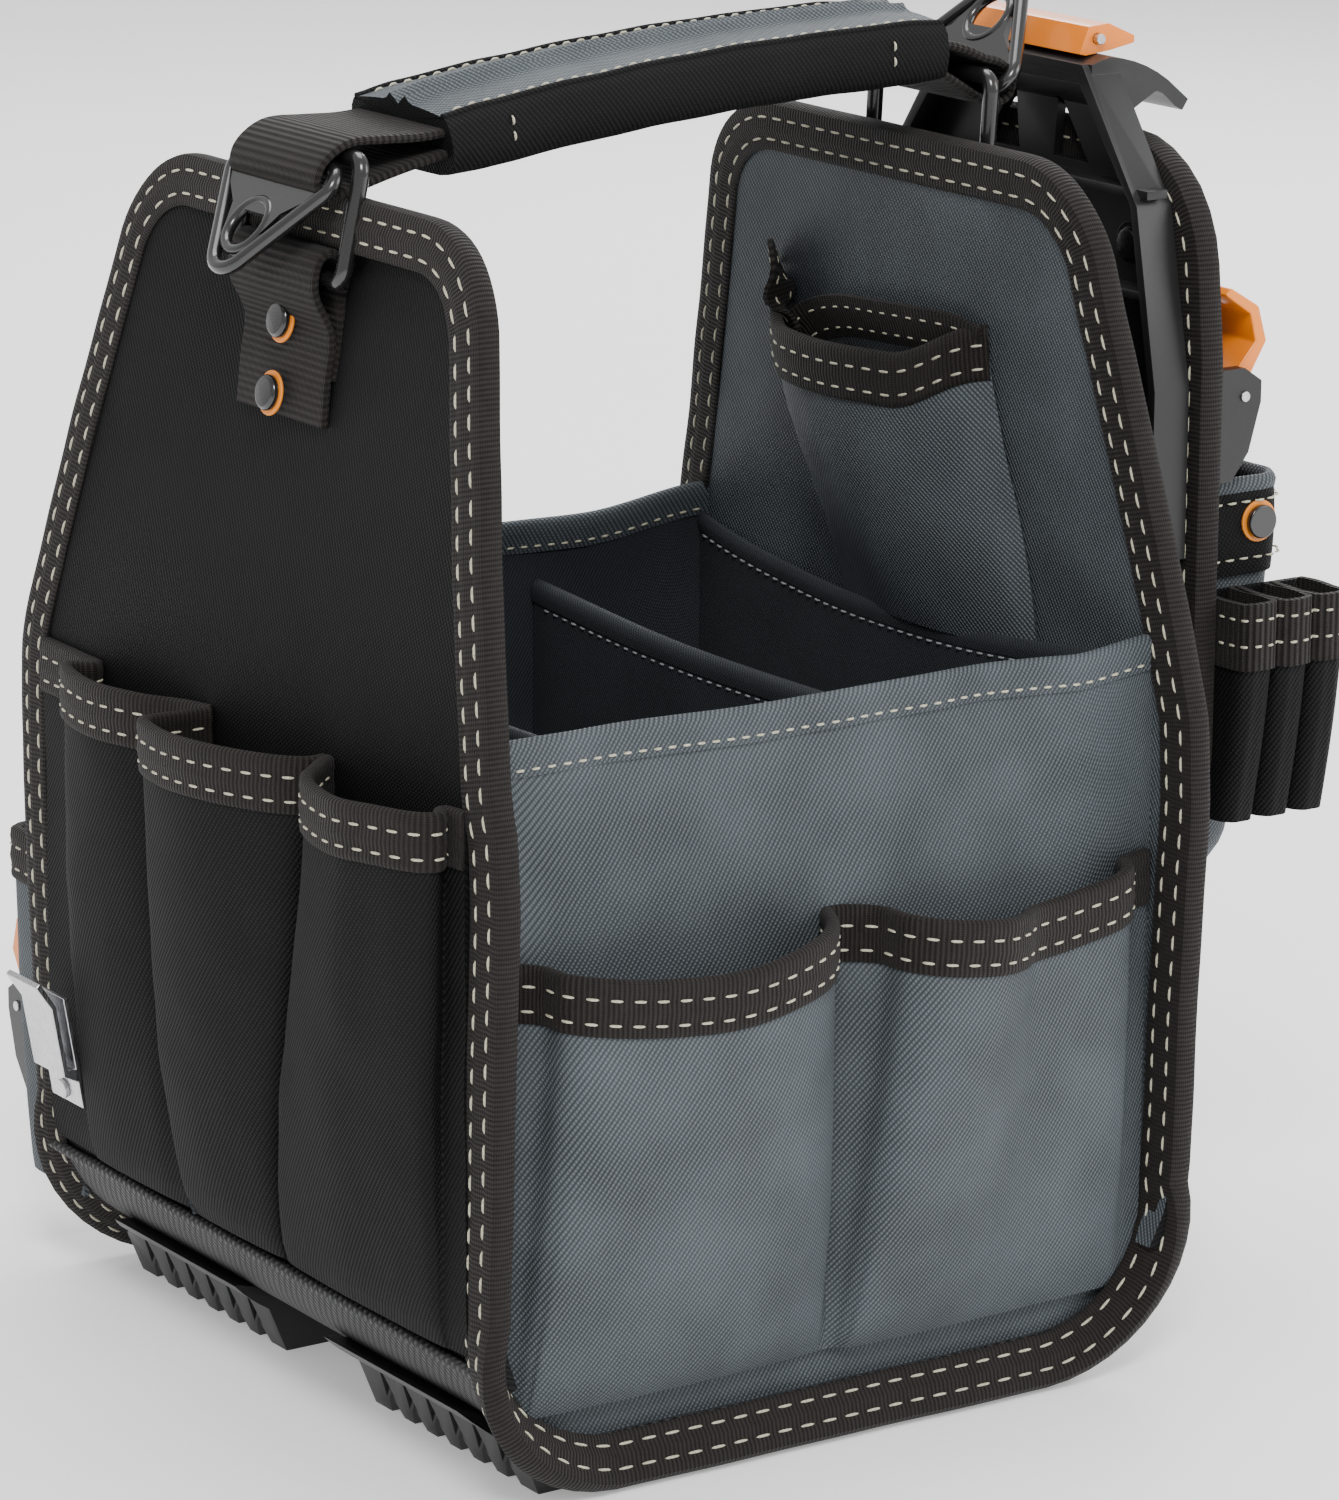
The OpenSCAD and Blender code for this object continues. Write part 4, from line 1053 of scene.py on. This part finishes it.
FRONT_FOLD, FRONT_LOW = (14.5, 335.5), (14.4, 308.5)
REAR_FOLD, REAR_LOW = (228.0, 343.5), (219.6, 311.5)
WEB_T = 2.4

front_path = [(60, 345.2), (50, 344.2), (41, 343.6), (31, 343.9), (21, 344.0), (14.8, 341.4), (11.0, 337.4),
              (10.6, 332.8), (14.7, 330.4), (20, 331.4), (25.5, 332.9), (33, 334.9), (44, 337.4), (60, 340.2)]
rear_path = [(194, 356.3), (203, 356.0), (210, 355.2), (217, 353.2), (222.5, 350.8), (228.4, 348.8), (232.4, 344.6),
             (231.6, 340.0), (227.6, 338.0), (222, 339.6), (217, 342.4), (210, 346.6), (203, 349.6), (194, 351.4)]
band("handle_webbing_front", front_path, WEB_HALF, WEB_T, "handle", ["handle_webbing"])
band("handle_webbing_rear", rear_path, WEB_HALF, WEB_T, "handle")


def anchor(front):
    """The strap that holds a wire ring: laid on the panel, looped round the ring's lower bar."""
    low = FRONT_LOW if front else REAR_LOW
    s = -1 if front else 1

    def face(z, off):
        return face_x(z, front, 0) + s * off
    foot, top = 270.0, low[1]
    path = [(face(foot, 1.9), foot), (face(foot + 12, 3.0), foot + 12), (face(foot + 24, 3.6), foot + 24),
            (low[0] + s * 4.4, top - 5), (low[0] + s * 5.0, top + 0.5), (low[0] + s * 3.4, top + 5.4),
            (low[0], top + 7.2), (low[0] - s * 3.4, top + 5.2), (low[0] - s * 4.4, top + 0.5),
            (low[0] - s * 3.2, top - 5), (face(foot + 24, 1.2), foot + 24), (face(foot + 12, 0.8), foot + 12)]
    name = "front_anchor" if front else "rear_anchor"
    node = "front_anchor_strap" if front else "rear_anchor_strap"
    band(name + "_webbing", path, WEB_HALF, WEB_T, "bag", [node])


anchor(True)
anchor(False)
for node, mat, slot in (("anchor_washers", WASHER, "orange_washer"), ("anchor_rivets", BLACK_METAL, "black_metal")):
    bevelled(node, 0.3, [mat], "bag")


# ---------------------------------------------------------------- rings
def tube_points(points, radius, ring=12):
    """Verts and faces of a round bar on a closed run of points."""
    count = len(points)
    verts, faces, uvs = [], [], []
    ups = Vector((0, 0, 0))
    for i in range(count):
        ups += (points[i]).cross(points[(i + 1) % count])
    axis = ups.normalized()
    for i, p in enumerate(points):
        ahead = (points[(i + 1) % count] - points[i - 1]).normalized()
        side = ahead.cross(axis).normalized()
        for k in range(ring):
            t = 2 * math.pi * k / ring
            verts.append(p + side * math.cos(t) * radius + axis * math.sin(t) * radius)
    for i in range(count):
        m = (i + 1) % count
        for k in range(ring):
            n = (k + 1) % ring
            faces.append([i * ring + k, i * ring + n, m * ring + n, m * ring + k])
            uvs += [(i, k), (i, k + 1), (i + 1, k + 1), (i + 1, k)]
    return verts, faces, uvs


def round_loop(corners, steps=8):
    """A closed run through rounded corners given as (x, y, radius)."""
    pts = []
    count = len(corners)
    for i, (x, y, r) in enumerate(corners):
        here = Vector((x, y, 0))
        back = (Vector((*corners[i - 1][:2], 0)) - here).normalized()
        on = (Vector((*corners[(i + 1) % count][:2], 0)) - here).normalized()
        half = math.acos(max(min(back.dot(on), 1), -1)) / 2
        centre = here + (back + on).normalized() * r / math.sin(half)
        first = here + back * r / math.tan(half) - centre
        last = here + on * r / math.tan(half) - centre
        turn = first.angle(last)
        for k in range(steps + 1):
            w = k / steps
            pts.append(centre + (first * math.sin((1 - w) * turn) + last * math.sin(w * turn)) / math.sin(turn))
    return pts


def strap_ring(node, fold, tilt):
    """A stamped ring: raised rim, webbing slot and a small round eye with a beaded lip."""
    half, reach = 31.0, 30.0
    rim = round_loop([(-2.2, -half + 1.5, 5), (reach + 8, 0, 8.2), (-2.2, half - 1.5, 5)], 10)
    eye = Vector((reach - 11, 0, 0))
    parts = [tube_points(rim, 2.0)]
    lip = [eye + Vector((math.cos(t), math.sin(t), 0)) * 7.8 for t in
           [2 * math.pi * k / 32 for k in range(32)]]
    parts.append(tube_points(lip, 1.6))
    verts, faces, uvs = [], [], []
    for v, f, u in parts:
        base = len(verts)
        verts += v
        faces += [[base + k for k in quad] for quad in f]
        uvs += u
    # the plate between the slot and the eye
    slot_x, plate = 5.4, 1.1
    outer = [Vector((slot_x, -half + 7.0, 0)), Vector((reach - 16, -12.2, 0)), Vector((reach - 8.5, -8.6, 0))]
    outer += [eye + Vector((math.cos(t), math.sin(t), 0)) * 8.6 for t in (-0.7, -0.35, 0, 0.35, 0.7)]
    outer += [Vector((p.x, -p.y, 0)) for p in reversed(outer[:3])]
    inner = [eye + Vector((math.cos(t), math.sin(t), 0)) * 7.4 for t in
             [math.atan2((p - eye).y, (p - eye).x) for p in outer]]
    base, count = len(verts), len(outer)
    for z in (plate, -plate):
        verts += [p + Vector((0, 0, z)) for p in outer] + [p + Vector((0, 0, z)) for p in inner]
    for i in range(count):
        m = (i + 1) % count
        a, b, c, d = base + i, base + m, base + count + m, base + count + i
        lower = 2 * count
        for quad in ([a, b, c, d], [a + lower, d + lower, c + lower, b + lower], [a, a + lower, b + lower, b],
                     [d, c, c + lower, d + lower]):
            faces.append(quad)
            uvs += [(0, 0), (1, 0), (1, 1), (0, 1)]
    turn = Matrix.Rotation(math.radians(tilt), 3, "Y")
    place = Vector((fold[0], 0, fold[1]))
    verts = [place + turn @ v for v in verts]
    new_piece(node + "_stamped", verts, faces, uvs, [BLACK_METAL], node, [node], sharp=50)


strap_ring("front_strap_ring", FRONT_FOLD, 130)
strap_ring("rear_strap_ring", REAR_FOLD, -50)
for node in ("front_wire_ring", "rear_wire_ring"):
    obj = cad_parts[node]
    for index in range(len(obj.material_slots)):
        obj.material_slots[index].material = BLACK_METAL


# ---------------------------------------------------------------- clips, hub, bracket and other hard parts
HARD = {
    "tape_clip": (STEEL, "steel", "bag", 0.35), "tape_clip_rivet": (STEEL, "steel", "bag", 0.3),
    "side_clip_body": (PLASTIC, "black_plastic", "bag", 0.7), "side_clip_pin": (STEEL, "steel", "bag", 0.25),
    "side_clip_lever": (ORANGE, "orange_plastic", "side_clip_lever", 0.7),
    "hub_receiver": (PLASTIC, "black_plastic", "bag", 0.8), "receiver_rivets": (BLACK_METAL, "black_metal", "bag", 0.3),
    "hub_bracket": (PLASTIC, "black_plastic", "pouch", 0.5),
    "bracket_rivets": (BLACK_METAL, "black_metal", "pouch", 0.4), "release_pin": (STEEL, "steel", "pouch", 0.25),
    "release_lever": (ORANGE, "orange_plastic", "release_lever", 0.6),
    "pouch_clip_body": (PLASTIC, "black_plastic", "pouch", 0.7), "pouch_clip_pin": (STEEL, "steel", "pouch", 0.25),
    "pouch_clip_lever": (ORANGE, "orange_plastic", "pouch_clip_lever", 0.7),
    "pouch_washer": (WASHER, "orange_washer", "pouch", 0.25), "pouch_rivet": (BLACK_METAL, "black_metal", "pouch", 0.5),
}
for node, (mat, slot, body, width) in HARD.items():
    bevelled(node, width, [mat], body)


# ---------------------------------------------------------------- lift-off pouch
POUCH_X0, POUCH_X1 = box_mm("pouch_back")[0].x, box_mm("pouch_back")[1].x
POUCH_HALF = POUCH[1].y - 3.0
POUCH_LOW, POUCH_HIGH = POUCH[0].z, POUCH[1].z


def pouch_edge():
    """The pouch panel's outline as (y, z), anticlockwise from the lower left."""
    corners = [(-POUCH_HALF + 6, POUCH_LOW, 16), (POUCH_HALF - 6, POUCH_LOW, 16), (POUCH_HALF, POUCH_LOW + 60, 90),
               (POUCH_HALF, 270, 60), (POUCH_HALF - 6, POUCH_HIGH, 36), (-POUCH_HALF + 6, POUCH_HIGH, 36),
               (-POUCH_HALF, 270, 60), (-POUCH_HALF, POUCH_LOW + 60, 90)]
    return [(p.x, p.y) for p in round_loop(corners, 7)]


def pouch_panel():
    edge = pouch_edge()
    mid = Vector((0, (POUCH_LOW + POUCH_HIGH) / 2))
    rings = 12
    verts, faces, uvs = [], [], []
    count = len(edge)
    middle = (POUCH_X0 + POUCH_X1) / 2
    for face_side in (1, -1):
        for k in range(rings):
            t = 1 - k / rings
            for y, z in edge:
                py, pz = y * (0.985 * t), mid.y + (z - mid.y) * (0.99 * t)
                swell = (POUCH_X1 - POUCH_X0) / 2 * (0.5 + 0.5 * math.sin(math.pi / 2 * min(k / 3, 1)))
                swell += 0.35 * ripple(py, pz, 30, 2.0 + face_side) * min(k / 3, 1)
                verts.append(Vector((middle + face_side * swell, py, pz)))
        verts.append(Vector((middle + face_side * (POUCH_X1 - POUCH_X0) / 2, 0, mid.y)))
    block = rings * count + 1

    def add(face):
        faces.append(face)
        for k in face:
            uvs.append((verts[k].y, verts[k].z))
    for side in (0, 1):
        base = side * block
        for k in range(rings - 1):
            for i in range(count):
                m = (i + 1) % count
                add([base + k * count + i, base + k * count + m, base + (k + 1) * count + m, base + (k + 1) * count + i])
        for i in range(count):
            add([base + (rings - 1) * count + i, base + (rings - 1) * count + (i + 1) % count, base + block - 1])
    for i in range(count):
        m = (i + 1) % count
        add([i, block + i, block + m, m])
    obj = new_piece("pouch_panel_pad", verts, faces, uvs, [BLACK], "pouch", ["pouch_back"])
    frames = []
    for i in range(count):
        y0, z0 = edge[i - 1]
        y1, z1 = edge[(i + 1) % count]
        run = Vector((0, y1 - y0, z1 - z0)).normalized()
        a = Vector((0, -run.z, run.y))
        frames.append((Vector((middle + 0.4 * ripple(edge[i][0], edge[i][1], 22, 5.0), *edge[i])), a, Vector((1, 0, 0))))
    sweep("pouch_edge_tape", frames, fold_section(12.5, 6.4, 0.5, rows=(4.2, 10.0)), [TAPE], "pouch",
          ["pouch_binding"], closed=True)
    for inset in (4.2, 10.0):
        for height in (3.2 + 1.0, -3.2 - 1.0):
            cream["pouch"].row(frames, inset, height, closed=True)


pouch_panel()


def on_pouch(u, w, z):
    return Vector((POUCH_X1 + w, u, z))


def pouch_pocket():
    half, deep = POCKET_BOX[1].y, POCKET_BOX[1].x - POUCH_X1
    root_deep = deep * 0.66
    low, high = POCKET_BOX[0].z, POCKET_BOX[1].z
    rows, cols = 30, 100

    def plan(half_w, depth, corner):
        line = round_loop([(-half_w, -20, 1), (-half_w, depth, corner), (half_w, depth, corner), (half_w, -20, 1)], 12)
        line = [p for p in line if p.y > -0.01]
        start = Vector((-half_w, 0, 0))
        line = [start] + sorted(line, key=lambda p: math.atan2(p.y + 2, -p.x))
        line += [Vector((half_w, 0, 0))]
        run = lengths(line)
        out, k = [], 0
        for i in range(cols + 1):
            d = run[-1] * i / cols
            while k < len(run) - 2 and run[k + 1] < d:
                k += 1
            t = (d - run[k]) / max(run[k + 1] - run[k], 1e-6)
            out.append(line[k].lerp(line[k + 1], t))
        return out
    upper, lower = plan(half, deep, 9), plan(half - 9, root_deep, 12)
    grid = []
    for i in range(rows + 1):
        t = i / rows
        row = []
        for a, b in zip(lower, upper):
            p = a.lerp(b, t ** 0.75)
            puff = 2.6 * math.sin(math.pi * t) + 1.2 * ripple(p.x, low + t * 90, 34, 4.0) * math.sin(math.pi * t)
            curl = 1 - smooth(t * 5)
            shrink = 1 - 0.10 * curl
            row.append(on_pouch(p.x * shrink, max(p.y * (1 - 0.35 * curl) + puff * smooth(p.y / 8), 0.8),
                                lerp(low - 6, high + 3, t)))
        grid.append(row)
    out = (1, 0, 0)
    cloth_sheet("pouch_pocket_cloth", grid, 1.8, out, [GREY, LINING], "pouch", ["pouch_pocket"])
    # the closed foot of the pocket
    foot = [grid[0], [on_pouch(p.y * 0.98, max((p.x - POUCH_X1) * 0.5, 0.8), low - 8.5) for p in grid[0]],
            [on_pouch(p.y * 0.96, 0.7, low - 9.5) for p in grid[0]]]
    cloth_sheet("pouch_pocket_foot", foot, 1.4, (0, 0, -1), [GREY, LINING], "pouch")
    cuff_low, cuff_high = CUFF_BOX[0].z, CUFF_BOX[1].z
    cuff_plan = plan(half + 0.9, deep + 1.2, 10)
    cuff = []
    for i in range(13):
        t = i / 12
        cuff.append([on_pouch(p.x, max(p.y + 0.9 * math.sin(math.pi * t) * smooth(p.y / 8), 0.6),
                              lerp(cuff_low, cuff_high, t) + 0.7 * ripple(p.x, p.y, 22, 8.0)) for p in cuff_plan])
    cloth_sheet("pouch_cuff_cloth", cuff, 2.4, out, [BLACK, BLACK], "pouch", ["pouch_cuff"])
    frames = [(p - b * 1.2, a, b) for p, a, b in edge_frames(cuff, out)]
    rim = [(3.2, 1.5), (1.5, 1.9), (0.2, 1.5), (-0.8, 0.8), (-1.1, 0), (-0.8, -0.8), (0.2, -1.5), (1.5, -1.9), (3.2, -1.5)]
    sweep("pouch_cuff_rim", frames, rim, [GREY], "pouch")
    for inset in (6.0, 22.5):
        cream["pouch"].row(frames, inset, 1.5 + (0.5 if inset < 20 else 0.1), pitch=5.0, fill=0.6)


pouch_pocket()


def sleeves():
    """Three narrow elastic sleeves side by side on the pouch's right, with webbing tops."""
    low, high = box_mm("tool_sleeves")
    tape_low, tape_high = box_mm("sleeve_tape")
    seam_y = -POCKET_BOX[1].y - 4
    first_x = low.x
    pitch = 12.6
    for i in range(3):
        x0 = first_x + i * pitch

        def wrap(grow, reach):
            plan = [(0.3, 0.4), (-0.4 - grow, 6), (0.2 - grow, reach - 3.5), (3, reach - 0.3), (6, reach), (9, reach - 0.3),
                    (11.8 + grow, reach - 3.5), (12.2 + grow, 6), (11.7, 0.4)]
            return catmull([(x0 + u, w, 0) for u, w in plan], 40)
        lower, upper = wrap(-0.4, 15), wrap(0.0, 21.6)
        grid = []
        for k in range(21):
            t = k / 20
            row = []
            for a, b in zip(lower, upper):
                p = a.lerp(b, t)
                full = 0.8 * math.sin(math.pi * t)
                row.append(Vector((p.x, seam_y - p.y - full * smooth(p.y / 6), lerp(low.z, tape_low.z + 4, t))))
            grid.append(row)
        cloth_sheet(f"sleeve_{i + 1}_cloth", grid, 1.5, (0, -1, 0), [BLACK, LINING], "pouch",
                    ["tool_sleeves"] if i == 0 else [])
        cuff = []
        for k in range(9):
            t = k / 8
            row = []
            for p in wrap(0.5, 22.6):
                row.append(Vector((p.x, seam_y - p.y, lerp(tape_low.z - 1, tape_high.z + 4, t)
                                   + 0.5 * ripple(p.x, p.y, 9, i))))
            cuff.append(row)
        cloth_sheet(f"sleeve_{i + 1}_top", cuff, 2.0, (0, -1, 0), [WEBBING, WEBBING], "pouch",
                    ["sleeve_tape"] if i == 0 else [])
        frames = [(p, a, b) for p, a, b in edge_frames(cuff, (0, -1, 0))]
        cream["pouch"].row(frames[4:-4], 4.5, 0.1, pitch=4.4, fill=0.6)
        cream["pouch"].row(frames[4:-4], 12.0, 0.1, pitch=4.4, fill=0.6)
    backing = []
    for k in range(15):
        z = lerp(low.z - 1, tape_high.z + 3, k / 14)
        backing.append([Vector((lerp(first_x - 0.4, first_x + 3 * pitch, j / 20), seam_y - 0.3 + 1.2, z))
                        for j in range(21)])
    cloth_sheet("sleeve_backing", backing, 2.2, (0, -1, 0), [BLACK], "pouch")


sleeves()

for body, thread in cream.items():
    thread.make(body + "_stitching", body, CREAM, "binding_tape")
grey_stitch.make("divider_stitching", "bag", GREY_THREAD, "dark_lining")


# ---------------------------------------------------------------- floor, light and camera
def studio():
    floor = bpy.data.meshes.new("floor")
    bm = bmesh.new()
    bmesh.ops.create_grid(bm, x_segments=24, y_segments=24, size=6.0)
    bm.to_mesh(floor)
    bm.free()
    obj = bpy.data.objects.new("floor", floor)
    bpy.context.collection.objects.link(obj)
    n = Nodes("pale_floor")
    n.colour(n.ramp(n.noise(3, 2), (0.88, 0.88, 0.88), (0.92, 0.92, 0.92)))
    n.shader.inputs["Roughness"].default_value = 0.9
    n.shader.inputs["Emission Color"].default_value = (1, 1, 1, 1)
    n.shader.inputs["Emission Strength"].default_value = 0.3
    floor.materials.append(n.mat)
    world = bpy.data.worlds.new("studio")
    bpy.context.scene.world = world
    world.use_nodes = True
    world.node_tree.nodes["Background"].inputs["Color"].default_value = (1, 1, 1, 1)
    world.node_tree.nodes["Background"].inputs["Strength"].default_value = 0.85
    for name, place, size, power in (("key", (-0.9, -1.6, 2.0), 0.7, 46), ("fill", (1.6, -1.5, 1.1), 1.2, 20),
                                     ("top", (0.3, 0.6, 2.6), 1.5, 40), ("rim", (1.5, 1.5, 1.3), 1.2, 25)):
        light = bpy.data.lights.new(name, "AREA")
        light.size = size
        light.energy = power
        lamp = bpy.data.objects.new(name, light)
        bpy.context.collection.objects.link(lamp)
        lamp.location = place
        aim = Vector((0, 0, 0.15)) - Vector(place)
        lamp.rotation_euler = aim.to_track_quat("-Z", "Y").to_euler()


studio()


def camera():
    """A long lens from the front right, a little above."""
    azimuth, elevation, roll = math.radians(-33.7), math.radians(14.5), math.radians(0.3)
    back = Vector((math.sin(azimuth) * math.cos(elevation), -math.cos(azimuth) * math.cos(elevation),
                   math.sin(elevation)))
    right = (-back).cross(Vector((0, 0, 1))).normalized()
    up = right.cross(-back)
    right, up = (right * math.cos(roll) + up * math.sin(roll), up * math.cos(roll) - right * math.sin(roll))
    cam = bpy.data.objects.new("camera", bpy.data.cameras.new("camera"))
    bpy.context.collection.objects.link(cam)
    turn = Matrix((right, up, back)).transposed()
    cam.matrix_world = Matrix.Translation(to_row((-800.0, -1401.2, 597.5))) @ turn.to_4x4()
    cam.data.sensor_width = 36.0
    cam.data.lens = 150.6
    cam.data.clip_end = 50
    bpy.context.scene.camera = cam


camera()
